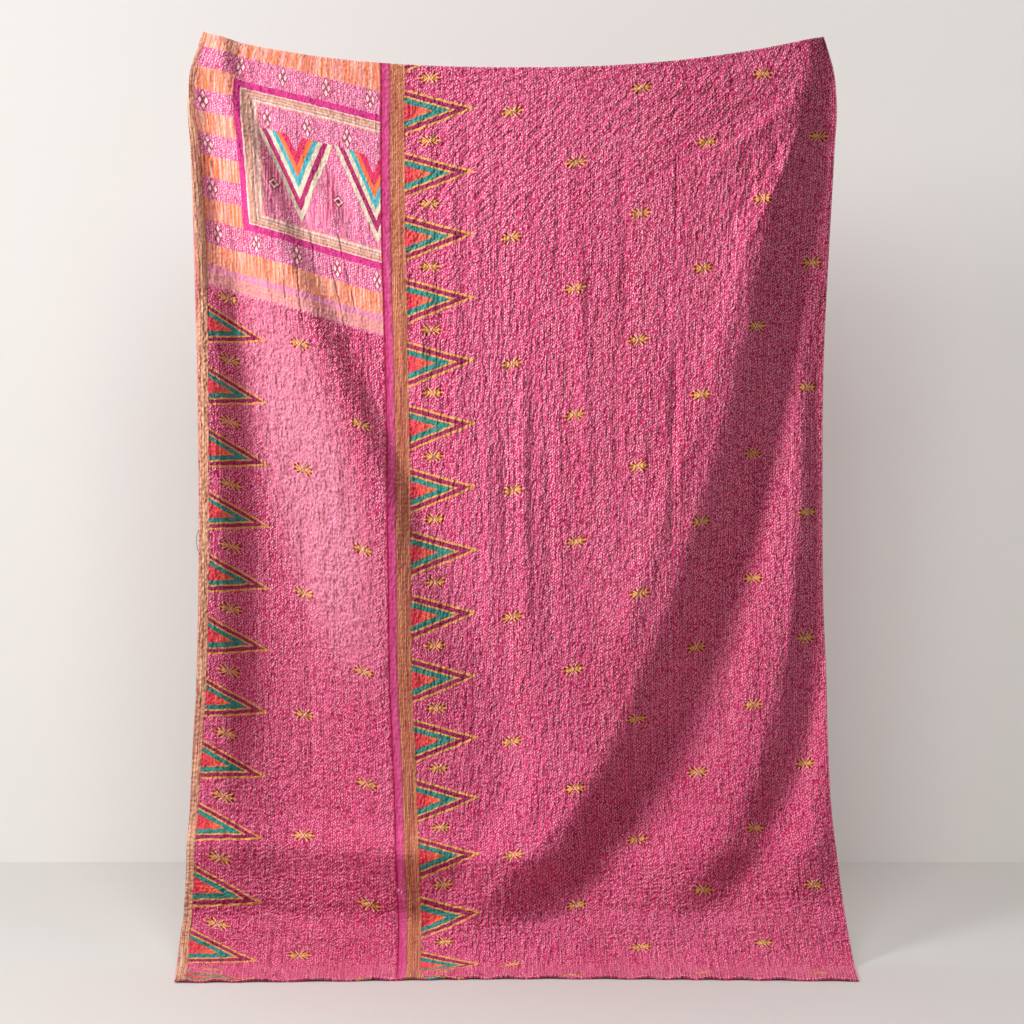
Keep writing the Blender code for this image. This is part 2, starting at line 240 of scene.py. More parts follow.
# Soft ridges that both faces of the sheet follow: along the left edge and three fold crests, and level ones
# low down, where the cloth is pushed together
SOFT_RIDGES = (
    (-0.664, 0.25, -0.65, 1.85, 0.026, 0.0085), (0.612, 0.16, 0.415, 0.84, 0.03, 0.0065),
    (0.44, 0.72, 0.215, 1.42, 0.032, 0.0065), (0.672, 0.66, 0.498, 1.62, 0.028, 0.006),
    (-0.9, 1.77, -0.02, 1.8, 0.045, 0.02), (-0.34, 1.812, 0.24, 1.82, 0.036, 0.013),
    (-0.9, 1.925, 0.02, 1.935, 0.036, -0.017), (0.02, 1.925, 0.76, 1.905, 0.034, -0.012),
    (0.12, 1.8, 0.8, 1.78, 0.04, 0.01),
)
RANDOM_WRINKLES = 150  # short vertical ones, scattered with a fixed seed

# Where the woven lines of the wide panel lie: how far they drop across it, and how they slip lower down
DROP_ACROSS = (0.452, 0.508, 0.66, 0.754, 0.905, 1.05, 1.20, 1.33, 1.46, 1.50)
DROP = (0.030, 0.026, 0.016, 0.0, -0.028, -0.054, -0.073, -0.086, -0.094, -0.096)
SLIP_RUN = (1.3, 1.4, 1.6, 1.74, 1.87, 2.0, 2.1, 2.2)
SLIP = (0.0, 0.0, 0.006, 0.014, 0.027, 0.042, 0.060, 0.075)
SLIP_ACROSS = (0.45, 0.56, 0.90, 1.10, 1.30, 1.46, 1.50)
SLIP_SHARE = (1.0, 1.0, 1.55, 1.2, 0.85, 0.66, 0.6)
LEFT_SLIP_RUN = (1.3, 1.48, 1.65, 1.76, 1.95, 2.2)
LEFT_SLIP = (0.0, 0.013, 0.034, 0.040, 0.050, 0.052)
SKEW_RUN = (1.1, 1.2, 1.26, 1.54, 1.74, 1.88, 2.03, 2.13, 2.20)
SKEW = (0.0, 0.0, 0.006, 0.014, 0.022, 0.029, 0.038, 0.050, 0.056)
SPREAD_ACROSS = (1.10, 1.20, 1.33, 1.46, 1.50)
SPREAD = (0.0, 0.0, 0.018, 0.0365, 0.040)
LEFT_BORDER_RUN = (-0.09, -0.03, 0.03, 0.12, 0.23, 0.35, 0.55, 0.76, 1.2, 1.44, 1.9, 2.09, 2.2)
LEFT_BORDER = (0.006, 0.009, 0.013, 0.018, 0.023, 0.029, 0.031, 0.028, 0.026, 0.024, 0.018, 0.022, 0.022)
LEFT_BORDER_WOVEN = 0.028
# The slope of the narrow panel's weft at the top, how much more it falls, and the run where that ends
LEFT_WEFT_FALL, LEFT_WEFT_TURN, LEFT_TURN_RUN = 0.235, 0.1, 0.5

# The woven layout, in metres of cloth: the seam border's end, each panel's triangles (pitch, reach and half
# height), the wide panel's star columns, and the parts of the narrow panel's end piece
BORDER_END = 0.508
RIGHT_TRIANGLES = (0.144, 0.163, 0.053)
LEFT_TRIANGLES = (0.1425, 0.140, 0.0455)
STAR_COLUMNS = 0.1485
FIRST_STARS = 0.754
END_PIECE = 0.487
FRAME_TOP, FRAME_FOOT = -0.001, 0.337
FRAME_LINE, FRAME_BAND = 0.015, 0.030
BAND_BLOCKS = 0.0985
CHEVRON_PITCH, CHEVRON_TIP, CHEVRON_RUN, CHEVRON_SLOPE = 0.184, 0.260, 0.282, 2.10
# The painted highlight on the narrow panel's lit fold crest: its place across at the top, its middle down,
# half width, half height and slant
HIGHLIGHT_ACROSS, HIGHLIGHT_RUN, HIGHLIGHT_WIDTH, HIGHLIGHT_HEIGHT, HIGHLIGHT_SLANT = 0.055, 0.86, 0.16, 0.54, 0.25

# Quilting
LEFT_ROWS_SEED, RIGHT_ROWS_SEED = 31, 32
STITCH_PITCH = 0.0106
THREAD_LIFT, EDGE_THREAD_LIFT = 0.0003, 0.0007
SLIDE = 0.0026  # how far a stitch strays along its row

CAMERA_PLACE = (0.0, -4.36, -1.0142)
LENS, SENSOR = 67.1, 36.0  # millimetres


def srgb(red, green, blue):
    """A colour given as 0 to 255 numbers, in the linear light that Blender mixes in."""
    values = [value / 255 for value in (red, green, blue)]
    return tuple(v / 12.92 if v <= 0.04045 else ((v + 0.055) / 1.055) ** 2.4 for v in values)


def colour(name, description, *value):
    """A colour that a user can change."""
    return FloatVectorProperty(
        name=name, description=description, subtype="COLOR", size=3, min=0.0, max=1.0, default=srgb(*value)
    )


def length(name, description, value):
    """A length that a user can change, in metres."""
    return FloatProperty(
        name=name, description=description, default=value, min=0.0, unit="LENGTH", precision=5
    )


def angle(name, description, value):
    """An angle that a user can change, in radians."""
    return FloatProperty(name=name, description=description, default=value, subtype="ANGLE")


def power(name, description, value):
    """A light's power that a user can change, in watts."""
    return FloatProperty(name=name, description=description, default=value, min=0.0, unit="POWER")


class KanthaCloth(PropertyGroup):
    """Sizes of the quilted sheets"""

    row_pitch: length("Row Pitch", "Distance between two quilting rows", 0.0073)
    rib_height: length("Rib Height", "How far the cloth puffs up between two rows", 0.0012)
    row_wander: length("Row Wander", "How far a hand-sewn row strays from its line", 0.0016)
    pucker_depth: length("Pucker Depth", "Depth of the small puckers along the rows", 0.0026)
    rows_down: IntProperty(name="Rows Down", description="Rows of faces from top to hem", default=300, min=40)
    back_step: IntProperty(name="Back Step", description="Front ribs to one back face", default=2, min=1)


class KanthaDyes(PropertyGroup):
    """Colours of the cloth and its woven patterns, and of its painted shade"""

    field: colour("Field", "The pink ground", 203, 54, 106)
    field_rose: colour("Rose", "The ground where it has faded", 218, 80, 126)
    # Also the colour of painted highlights: in the pale ticks of the fronts and the pale patch on the narrow
    # panel's crest
    tick: colour("Tick", "Pale woven ticks and stitches", 255, 200, 216)
    # Also the colour of the dark ticks of the fronts, which are painted shade
    shade: colour("Shade", "Dark pink between the ticks", 148, 16, 68)
    maroon: colour("Maroon", "Inner outline of the triangles", 150, 28, 82)
    gold: colour("Gold", "Outlines and small motifs", 228, 166, 82)
    teal: colour("Teal", "Inner triangle", 8, 134, 122)
    aqua: colour("Aqua", "Teal of the end piece", 50, 178, 190)
    red: colour("Red", "Fill of the triangles by the border", 220, 44, 72)
    orange: colour("Orange", "Fill of the triangles at their tips", 248, 118, 58)
    peach: colour("Peach", "Pale streaks in the orange bands", 240, 184, 162)
    cream: colour("Cream", "Pale lines of the end piece", 238, 218, 186)
    tan: colour("Tan", "Border stripes", 202, 130, 70)
    brown: colour("Brown", "Dark border stripes", 134, 56, 50)
    selvedge: colour("Selvedge", "Plain selvedge over the seam", 208, 88, 136)
    magenta: colour("Magenta", "Frame of the end piece", 206, 48, 130)
    lilac: colour("Lilac", "Ground of the speckled bands", 212, 100, 146)
    back: colour("Back", "Plain cloth of the back", 206, 96, 138)
    # Painted shade: multiplied into the colours where the relief is low and along the long creases
    painted_shade: colour("Valley", "What the colours are dimmed by in the puckers", 176, 88, 104)
    loose: colour("Loose Thread", "Green thread left in the edge", 78, 132, 92)


class KanthaStitches(PropertyGroup):
    """Sizes of the running stitches"""

    pitch: length("Pitch", "From one stitch to the next along a row", STITCH_PITCH)
    stitch_length: length("Length", "Length of one stitch", 0.0048)
    width: length("Width", "Width of the soft two-ply thread", 0.0015)
    tilt: angle("Tilt", "Most that a stitch leans", 0.45)
    edge_pitch: length("Edge Pitch", "From one stitch to the next round the edges", 0.0068)
    edge_length: length("Edge Length", "Length of one edge stitch", 0.0070)
    edge_turn: angle("Edge Turn", "How an edge stitch leans", 1.05)
    seed: IntProperty(name="Seed", description="Which uneven set of stitches is made", default=7)


class KanthaStage(PropertyGroup):
    """The floor, the wall and the lights"""

    wall: colour("Wall", "Colour of the wall", 236, 234, 230)
    floor: colour("Floor", "Colour of the floor", 240, 238, 234)
    wall_distance: length("Wall Distance", "From the top edge back to the wall", 1.06)
    key_power: power("Key Light", "Power of the large light on the left", 35.0)
    fill_power: power("Fill Light", "Power of the light beside the camera", 13.0)
    top_power: power("Top Light", "Power of the light high over the hem", 21.0)
    back_power: power("Back Light", "Power of the light over the back", 30.0)
    room_key_power: power("Room Key", "Power of the left light on the wall", 76.0)
    room_fill_power: power("Room Fill", "Power of the front light on the wall", 275.0)
    room_light: FloatProperty(
        name="Room Light", description="Strength of the light from all round", default=0.14, min=0.0
    )


# ---- The hung shape ----


def smooth(levels, values, at):
    """A smooth curve through a table's values: cubic pieces with averaged slopes."""
    levels, values = np.asarray(levels, float), np.asarray(values, float)
    slopes = np.gradient(values, levels)
    at = np.clip(at, levels[0], levels[-1])
    i = np.clip(np.searchsorted(levels, at, side="right") - 1, 0, len(levels) - 2)
    step = levels[i + 1] - levels[i]
    t = (at - levels[i]) / step
    return (
        values[i] * (1 + 2 * t) * (1 - t) ** 2
        + values[i + 1] * t * t * (3 - 2 * t)
        + step * (slopes[i] * t * (1 - t) ** 2 - slopes[i + 1] * t * t * (1 - t))
    )


def ease(t):
    """0 to 1 with level ends."""
    t = np.clip(t, 0.0, 1.0)
    return t * t * (3 - 2 * t)


def fall_line(run):
    """Forward reach, height over the floor and lean of the cloth's back, at a run down the cloth."""
    steps = np.linspace(0.0, HEM_RUN + max(HEM_SHIFT) + PROBE, FALL_STEPS)
    lean = np.radians(np.interp(steps, LEAN_RUN, LEAN_DEGREES))
    middle, stretch = (lean[1:] + lean[:-1]) / 2, np.diff(steps)
    forward = np.concatenate(([0.0], np.cumsum(np.sin(middle) * stretch)))
    drop = np.concatenate(([0.0], np.cumsum(np.cos(middle) * stretch)))
    height = drop[-1] - np.interp(run, steps, drop) - np.minimum(run, 0.0)
    return np.interp(run, steps, forward), height + THICKNESS, np.interp(run, steps, lean)


def scattered_wrinkles():
    """Short vertical wrinkles over the whole cloth, the same ones each time."""
    chance = np.random.default_rng(20)
    rows = []
    for _ in range(RANDOM_WRINKLES):
        x, run = chance.uniform(-0.70, 0.70), chance.uniform(0.02, 1.80)
        reach, slant = chance.uniform(0.12, 0.42), chance.uniform(-0.02, 0.02)
        width, rise = chance.uniform(0.006, 0.012), chance.uniform(0.0006, 0.0017)
        rows.append((x, run, x + slant, min(run + reach, 1.98), width, rise * chance.choice((-1, 1))))
    return tuple(rows)


SMALL_WRINKLES = scattered_wrinkles()


def fold_depth(x, run, fine=True):
    """How far the cloth stands in front of its fall line, with the finer wrinkles or without."""
    folds = [smooth(LEVELS, across, run) for _, across, _ in FOLDS]
    depths = [smooth(LEVELS, depth, run) for _, _, depth in FOLDS]
    depth = depths[0] + 0 * x
    for i in range(len(FOLDS) - 1):
        share = ease((x - folds[i]) / (folds[i + 1] - folds[i]))
        depth = np.where(x > folds[i], depths[i] + (depths[i + 1] - depths[i]) * share, depth)
    lines = CREASES + SOFT_RIDGES + (WRINKLES + SMALL_WRINKLES if fine else ())
    for top_x, top_run, foot_x, foot_run, half_width, rise in lines:
        aside, down = foot_x - top_x, foot_run - top_run
        reach = math.hypot(aside, down)
        along = ((x - top_x) * aside + (run - top_run) * down) / reach**2
        off = ((x - top_x) * down - (run - top_run) * aside) / reach
        near = (along > 0) & (along < 1) & (np.abs(off) < 3 * half_width)
        fade = ease(np.minimum(along[near], 1 - along[near]) / CREASE_END)
        depth[near] += rise * fade * np.exp(-((off[near] / half_width) ** 2))
    return depth * ease((FLOOR_RUN - run) / SETTLE_RUN)


def across_to_x(across, run):
    """X of a place across the cloth, measured from its left edge."""
    runs, left, lap, right = np.array(EDGE_LINES).T
    left, lap, right = (smooth(runs, line, run) for line in (left, lap, right))
    return np.where(
        across < LAP_AT,
        left + (lap - left) * across / LAP_AT,
        lap + (right - lap) * (across - LAP_AT) / (CLOTH_WIDTH - LAP_AT),
    )


def run_down(across, share):
    """The run at a share of the way from the top edge to the hem, with the top edge's sag."""
    x = across_to_x(across, 0.0 * across) - SAG_LOWEST_X
    half_left, half_right = across_to_x(np.array([0.0, CLOTH_WIDTH]), 0.0) - SAG_LOWEST_X
    rise = np.where(
        x < 0,
        CORNER_RISE_LEFT * np.abs(x / half_left) ** SAG_POWER_LEFT,
        CORNER_RISE_RIGHT * np.abs(x / half_right) ** SAG_POWER_RIGHT,
    )
    fade = np.clip(1 - share / FLOOR_SHARE, 0.0, 1.0) ** RISE_FADE
    on_floor = np.clip((share - FLOOR_SHARE) / (1 - FLOOR_SHARE), 0.0, 1.0)
    shift = smooth(HEM_X, HEM_SHIFT, x + SAG_LOWEST_X) * on_floor
    return share * HEM_RUN - rise * fade + shift


def surface(across, share, fine=True):
    """A point of the quilt's plain front face, in the CAD model's frame."""
    run = run_down(across, share)
    x = across_to_x(across, run)
    forward, height, lean = fall_line(run)
    depth = fold_depth(x, run, fine)
    y = -forward - depth * np.cos(lean)
    on_floor = ease((share - FLOOR_SHARE) / (1 - FLOOR_SHARE))
    lumps = 0.5 + 0.5 * np.sin(across * HEM_WAVE + HEM_DRIFT * np.sin(across * HEM_SLOW_WAVE))
    z = height + depth * np.sin(lean) + HEM_LIFT * on_floor * lumps
    return np.stack([x, y, z], axis=-1) - ORIGIN


def sheet_grid(across, shares, fine=True):
    """Points of the plain face at places across (one row of them, or one for each share) and shares down,
    with the way square off the cloth."""
    across = np.asarray(across, float) + np.zeros((len(shares), 1))
    share = np.asarray(shares, float)[:, None] + np.zeros_like(across)
    sideways = surface(across + PROBE, share, fine) - surface(across - PROBE, share, fine)
    upward = surface(across, share - PROBE / HEM_RUN, fine) - surface(across, share + PROBE / HEM_RUN, fine)
    normal = np.cross(sideways, upward)
    normal /= np.linalg.norm(normal, axis=-1, keepdims=True)
    return surface(across, share, fine), normal, across, run_down(across, share)


def stray(count, shares, reach, seed):
    """How far each hand-sewn row strays sideways at each share: slow waves, none at the ends of the cloth."""
    luck = np.random.default_rng(seed)
    share = np.asarray(shares, float)[:, None]
    offset = np.zeros((len(shares), count))
    for waves, part in ((4, 0.4), (11, 0.35), (27, 0.25)):
        turns = luck.uniform(0.7, 1.3, count) * waves
        offset += part * np.sin(2 * np.pi * (share * turns + luck.uniform(0, 1, count)))
    return offset * reach


def woven_right(across, run):
    """Where a point lies in the wide panel's weave: across the warp, and along it."""
    slip = smooth(SLIP_RUN, SLIP, run) * smooth(SLIP_ACROSS, SLIP_SHARE, across)
    skew = smooth(SKEW_RUN, SKEW, run) * ease((across - 0.50) / 0.25)
    spread = smooth(SPREAD_ACROSS, SPREAD, across)
    return across + skew + spread, run - smooth(DROP_ACROSS, DROP, across) + slip


def woven_left(across, run):
    """Where a point lies in the narrow panel's weave, whose weft falls to the right."""
    narrower = (LEFT_BORDER_WOVEN - smooth(LEFT_BORDER_RUN, LEFT_BORDER, run)) * (1 - ease(across / 0.10))
    slip = smooth(LEFT_SLIP_RUN, LEFT_SLIP, run) * ease((across - 0.12) / 0.25)
    fall = LEFT_WEFT_FALL + LEFT_WEFT_TURN * np.minimum(run, LEFT_TURN_RUN)
    return across + narrower, run - across * fall + slip


# ---- The sheets ----


def sewn_rows(start, end, shares, cloth, seed):
    """Where each quilting row between start and end lies across the cloth, at each share."""
    ribs = round((end - start) / cloth.row_pitch)
    rows = np.linspace(start, end, ribs + 1)[None, :] + stray(ribs + 1, shares, cloth.row_wander, seed)
    rows[:, 0], rows[:, -1] = start, end
    return rows


def ribbed_face(first, last, shares, cloth, seed):
    """Places and lifts of the ribbed part of a sheet: each row, and the uneven puff beside it."""
    rows = sewn_rows(first, last, shares, cloth, seed)
    places = np.zeros((len(shares), 2 * rows.shape[1] - 1))
    places[:, 0::2] = rows
    places[:, 1::2] = (rows[:, 1:] + rows[:, :-1]) / 2
    luck = np.random.default_rng(seed + 50).uniform(-0.5, 1.0, (len(shares) + 2, rows.shape[1] - 1))
    puffs = (luck[:-2] + 2 * luck[1:-1] + luck[2:]) / 4
    lifts = np.zeros_like(places)
    lifts[:, 1::2] = cloth.rib_height * (0.75 + puffs)
    return places, lifts


def even_shares(rows):
    """Shares of the way down for evenly tall rows of faces."""
    return np.linspace(0.0, 1.0, rows + 1)


def smooth_back(places, first, step):
    """A smooth back section under the ribs, each point tied to a front one."""
    ties = list(range(first, len(places) - 1, 2 * step)) + [len(places) - 1]
    return [((places[tie], -THICKNESS), tie) for tie in ties]


def closed_sheet(name, places, lifts, back, shares, step, weave, materials):
    """A closed sheet: a fine front and a coarser back section, each back point tied to a front one."""
    points, normals, across, run = sheet_grid(places, shares)
    face = points + normals * lifts[..., None]
    back_rows = list(range(0, len(shares) - 1, step)) + [len(shares) - 1]
    back_places, back_lifts = np.array([point for point, _ in back]).T
    ties = [tie for _, tie in back]
    back_shares = [shares[i] for i in back_rows]
    rear_points, rear_normals, rear_across, rear_run = sheet_grid(back_places, back_shares, fine=False)
    rear = rear_points + rear_normals * back_lifts[None, :, None]
    columns, rear_columns = places.shape[1], len(back_places)
    start = len(shares) * columns
    front_at = np.arange(start).reshape(len(shares), columns)
    rear_at = start + np.arange(len(back_rows) * rear_columns).reshape(len(back_rows), rear_columns)
    faces = np.stack([front_at[:-1, :-1], front_at[1:, :-1], front_at[1:, 1:], front_at[:-1, 1:]], -1)
    faces = faces.reshape(-1, 4).tolist()
    fine = len(faces)
    rear_faces = np.stack([rear_at[:-1, :-1], rear_at[:-1, 1:], rear_at[1:, 1:], rear_at[1:, :-1]], -1)
    faces += rear_faces.reshape(-1, 4).tolist()
    coarse = len(faces)
    for side in (0, -1):
        for i in range(len(back_rows) - 1):
            rim = front_at[back_rows[i]:back_rows[i + 1] + 1, side].tolist()
            faces.append(rim + [int(rear_at[i + 1, side]), int(rear_at[i, side])])
    for end in (0, -1):
        for j in range(len(ties) - 1):
            rim = front_at[end, ties[j]:ties[j + 1] + 1].tolist()
            faces.append(rim + [int(rear_at[end, j + 1]), int(rear_at[end, j])])
    mesh = bpy.data.meshes.new(name)
    mesh.from_pydata(np.concatenate([face.reshape(-1, 3), rear.reshape(-1, 3)]).tolist(), [], faces)
    for material in materials:
        mesh.materials.append(material)
    indices = np.zeros(len(faces), np.int32)
    indices[fine:coarse] = 1
    mesh.polygons.foreach_set("material_index", indices)
    all_across = np.concatenate([across.ravel(), rear_across.ravel()])
    all_run = np.concatenate([run.ravel(), rear_run.ravel()])
    add_uv(mesh, "weave", *weave(all_across, all_run))
    add_uv(mesh, "cloth", all_across, all_run)
    bm = bmesh.new()
    bm.from_mesh(mesh)
    bmesh.ops.recalc_face_normals(bm, faces=bm.faces)
    bm.to_mesh(mesh)
    bm.free()
    mesh.shade_smooth()
    mesh.set_sharp_from_angle(angle=math.radians(60))
    sheet = bpy.data.objects.new(name, mesh)
    bpy.context.scene.collection.objects.link(sheet)
    return sheet


def add_uv(mesh, name, first, second):
    """A UV map in metres from two numbers for each vertex."""
    layer = mesh.uv_layers.new(name=name)
    corners = np.zeros(len(mesh.loops), np.int32)
    mesh.loops.foreach_get("vertex_index", corners)
    layer.data.foreach_set("uv", np.stack([first[corners], second[corners]], -1).ravel().astype(np.float32))


# ---- Materials ----


class Amount:
    """A number worked out at each point of a surface: arithmetic on it adds Math nodes to the material."""

    def __init__(self, tree, socket):
        self.tree, self.socket = tree, socket

    def math(self, operation, *others):
        node = self.tree.nodes.new("ShaderNodeMath")
        node.operation = operation
        for place, value in zip(node.inputs, (self, *others)):
            if isinstance(value, Amount):
                self.tree.links.new(value.socket, place)
            else:
                place.default_value = value
        return Amount(self.tree, node.outputs[0])

    def no(self):
        """1 where this is 0, and 0 where it is 1."""
        return self.math("MULTIPLY_ADD", -1.0, 1.0)

    def repeat(self, period):
        """The distance to the nearest of points a period apart, with its sign."""
        return self.math("WRAP", period / 2, -period / 2)

    def between(self, low, high):
        return (self > low) & (self < high)

    def rise(self, low, high):
        """0 below low, 1 over high, and a soft step between them."""
        node = self.tree.nodes.new("ShaderNodeMapRange")
        node.interpolation_type = "SMOOTHSTEP"
        self.tree.links.new(self.socket, node.inputs[0])
        node.inputs[1].default_value, node.inputs[2].default_value = low, high
        return Amount(self.tree, node.outputs[0])


# What takes one Math node each. Masks are 0 or 1, so "and" is a product and "or" is a maximum.
for method, operation in {
    "__add__": "ADD", "__sub__": "SUBTRACT", "__mul__": "MULTIPLY", "__abs__": "ABSOLUTE",
    "__lt__": "LESS_THAN", "__gt__": "GREATER_THAN", "__and__": "MULTIPLY", "__or__": "MAXIMUM",
    "least": "MINIMUM", "most": "MAXIMUM", "whole": "FLOOR", "part": "FRACT", "wave": "SINE",
}.items():
    setattr(Amount, method, partialmethod(Amount.math, operation))


def choose(mask, first, second):
    """first where mask is 1, second where it is 0."""
    gap = second * -1.0 + first if isinstance(second, Amount) else first - second
    return mask * gap + second


def vector(x, y, z=0.0):
    """Three numbers as one vector."""
    node = x.tree.nodes.new("ShaderNodeCombineXYZ")
    for place, value in zip(node.inputs, (x, y, z)):
        if isinstance(value, Amount):
            x.tree.links.new(value.socket, place)
        else:
            place.default_value = value
    return node.outputs[0]


def noise(x, y, z=0.0, detail=2.0, roughness=0.5):
    """Soft noise, 0 to 1 and mostly near a half."""
    node = x.tree.nodes.new("ShaderNodeTexNoise")
    x.tree.links.new(vector(x, y, z), node.inputs["Vector"])
    node.inputs["Scale"].default_value = 1.0
    node.inputs["Detail"].default_value = detail
    node.inputs["Roughness"].default_value = roughness
    return Amount(x.tree, node.outputs[0])


def chance(x, y, z=0.0):
    """An even chance number for each whole x and y."""
    node = x.tree.nodes.new("ShaderNodeTexWhiteNoise")
    x.tree.links.new(vector(x, y, z), node.inputs["Vector"])
    return Amount(x.tree, node.outputs["Value"])


def put(socket, value):
    """Sets a colour on a socket, or joins one to it."""
    if isinstance(value, bpy.types.NodeSocket):
        socket.id_data.links.new(value, socket)
    else:
        socket.default_value = (*value, 1.0)


def paint(under, mask, over, blend="MIX"):
    """A colour with another painted over it where the mask says, or evenly by a plain share."""
    tree = mask.tree if isinstance(mask, Amount) else under.id_data
    node = tree.nodes.new("ShaderNodeMix")
    node.data_type, node.blend_type = "RGBA", blend
    if isinstance(mask, Amount):
        tree.links.new(mask.socket, node.inputs[0])
    else:
        node.inputs[0].default_value = mask
    put(node.inputs[6], under)
    put(node.inputs[7], over)
    return node.outputs[2]


def stripes(amount, stops, softness="CONSTANT"):
    """A colour for each stretch of an amount from 0 to 1."""
    node = amount.tree.nodes.new("ShaderNodeValToRGB")
    amount.tree.links.new(amount.socket, node.inputs[0])
    ramp = node.color_ramp
    ramp.interpolation = softness
    while len(ramp.elements) < len(stops):
        ramp.elements.new(0.5)
    for element, (place, value) in zip(ramp.elements, stops):
        element.position = place
        element.color = (*value, 1.0)
    return node.outputs[0]


def mixed(first, second, share=0.5):
    """A colour between two colours."""
    return tuple(a + (b - a) * share for a, b in zip(first, second))


def star(x, y, under, dyes):
    """A small woven star, wider than tall: crossed rays, a leaf each side and dark strokes between."""
    aside, up = abs(x), abs(y)

    def line(start, slope, half_width, near, far):
        off = abs(up - (aside - start) * slope) * (1 / math.hypot(1, slope))
        return (off < half_width) & aside.between(near, far)

    rays = line(0.0, 1.35, 0.0013, -1.0, 0.0098) | line(0.0036, 0.62, 0.0012, 0.0040, 0.0185)
    leaf = (up < (aside - 0.006) * 0.42) & aside.between(0.006, 0.0170)
    leaf = leaf | (up < 0.0015) & aside.between(0.004, 0.0265)
    dark = (up < aside * 1.35) & (up < 0.0125) & aside.between(0.0015, 0.0150)
    dark = dark | (up < 0.0068) & aside.between(0.014, 0.0225)
    result = paint(under, dark, mixed(dyes.shade, dyes.brown, 0.3))
    result = paint(result, leaf, mixed(dyes.gold, dyes.orange, 0.15))
    return paint(result, rays, mixed(dyes.gold, dyes.cream, 0.2)), rays | leaf | dark


def lozenges(x, y):
    """Masks of four narrow lozenges set in a cross: the lozenges, and their dark outlines."""
    upright = abs(x) * (1 / 0.0040) + abs(abs(y) - 0.0125) * (1 / 0.0080)
    level = abs(abs(x) - 0.0064) * (1 / 0.0040) + abs(y) * (1 / 0.0080)
    near = upright.least(level)
    return near < 1.0, near.between(1.0, 1.5)


def streaks(x, y, low, middle, high, fineness=300.0):
    """Fine uneven streaks along the warp in three colours."""
    tone = noise(x * fineness, y * 7.0, 3.0, detail=1.0, roughness=0.75)
    return stripes(tone, ((0.0, low), (0.42, low), (0.50, middle), (0.57, high), (1.0, high)), "LINEAR")


def ground(x, y, dyes):
    """The pink ground: faded in places, with a fine uneven warp."""
    paler = noise(x * 5.0, y * 3.0, 1.0, detail=1.0).rise(0.35, 0.68)
    warp = noise(x * 300.0, y * 14.0, 5.0, detail=1.0).rise(0.35, 0.70)
    return paint(paint(dyes.field, paler * 0.7, dyes.field_rose), warp * 0.25, dyes.shade)


def triangles(x, y, sizes, under, dyes):
    """Nested woven triangles: base on x = 0, tip at the reach, y from the middle of one of them."""
    pitch, reach, half_height = sizes
    y = y.repeat(pitch)
    level = abs(y) * (1 / half_height) + x * (1 / reach)
    inside = (x > 0.0) & (level < 1.0)
    twist = ((y * 900.0 + x * 500.0).wave()).rise(-1.0, 1.0)
    gold = paint(dyes.gold, twist * 0.35, mixed(dyes.gold, dyes.brown, 0.6))
    speckle = noise(x * 260.0, y * 260.0, detail=0.0) * 0.7
    fill = paint(dyes.red, (x * (1 / reach) + speckle).rise(0.35, 0.80), dyes.orange)
    result = paint(under, inside, gold)
    result = paint(result, inside & (level < 0.90), dyes.maroon)
    result = paint(result, inside & (level < 0.715), gold)
    result = paint(result, inside & (level < 0.635), dyes.teal)
    return paint(result, inside & (level < 0.40), fill), inside


def right_weave(x, y, dyes):
    """The wide panel's woven colours, and where its pale ticks show."""
    result = ground(x, y, dyes)
    pitch = RIGHT_TRIANGLES[0]
    result, in_triangle = triangles(x - BORDER_END, y - 0.077, RIGHT_TRIANGLES, result, dyes)
    by_border = x < 0.67
    column = ((x - FIRST_STARS) * (1 / STAR_COLUMNS) + 0.5).whole()
    odd = column.math("PINGPONG", 1.0)
    star_x = choose(by_border, x - 0.565, (x - FIRST_STARS).repeat(STAR_COLUMNS))
    star_y = choose(by_border, (y - 0.001).repeat(pitch), (y - odd * pitch - 0.102).repeat(2 * pitch))
    result, in_star = star(star_x, star_y, result, dyes)
    tan, brown, pink = dyes.tan, dyes.brown, mixed(dyes.tan, dyes.field, 0.45)
    in_band = x - SEAM_AT
    band = in_band * (1 / 0.034) + (noise(x * 40.0, y * 30.0, detail=0.0) - 0.5) * 0.05
    edge = stripes(band, (
        (0.0, brown), (0.04, tan), (0.14, pink), (0.17, tan), (0.27, mixed(tan, brown, 0.7)), (0.30, tan),
        (0.40, brown), (0.44, tan), (0.52, mixed(tan, brown, 0.5)), (0.56, pink), (0.60, tan), (0.68, brown),
        (0.73, tan), (0.80, mixed(tan, brown, 0.8)), (0.83, mixed(tan, dyes.gold, 0.5)), (0.95, brown),
    ))
    in_border = x < BORDER_END
    edge = paint(edge, y.rise(0.15, 0.85).no() * 0.3, mixed(tan, dyes.gold, 0.4))
    frayed = streaks(x, y, mixed(brown, dyes.shade, 0.35), tan, mixed(dyes.gold, dyes.cream, 0.3), 520.0)
    edge = paint(edge, 0.42, frayed)
    result = paint(result, in_border, edge)
    flap = x < 0.4745
    threads = (in_band * (1 / 0.0042)).part() < 0.3
    result = paint(result, in_border & threads, mixed(brown, dyes.maroon, 0.4))
    worn = noise(x * 420.0, y * 26.0, 2.0, detail=0.0).rise(0.38, 0.66) * 0.6
    plain = paint(dyes.selvedge, worn, mixed(dyes.selvedge, dyes.shade, 0.55))
    by_seam = (x + noise(y * 3.0, 0.0, 4.0, detail=0.0) * 0.02).rise(0.470, 0.477).no() * 0.6
    result = paint(result, flap, paint(plain, by_seam, mixed(dyes.magenta, dyes.shade, 0.25)))
    # A thin dark line down the flap's left edge: the dark line of its stitching, and painted shade where the
    # flap laps over the narrow panel
    result = paint(result, x < 0.4562, mixed(dyes.shade, dyes.brown, 0.2))
    return result, choose(in_border | in_triangle, 0.22, in_star.no()) & flap.no()


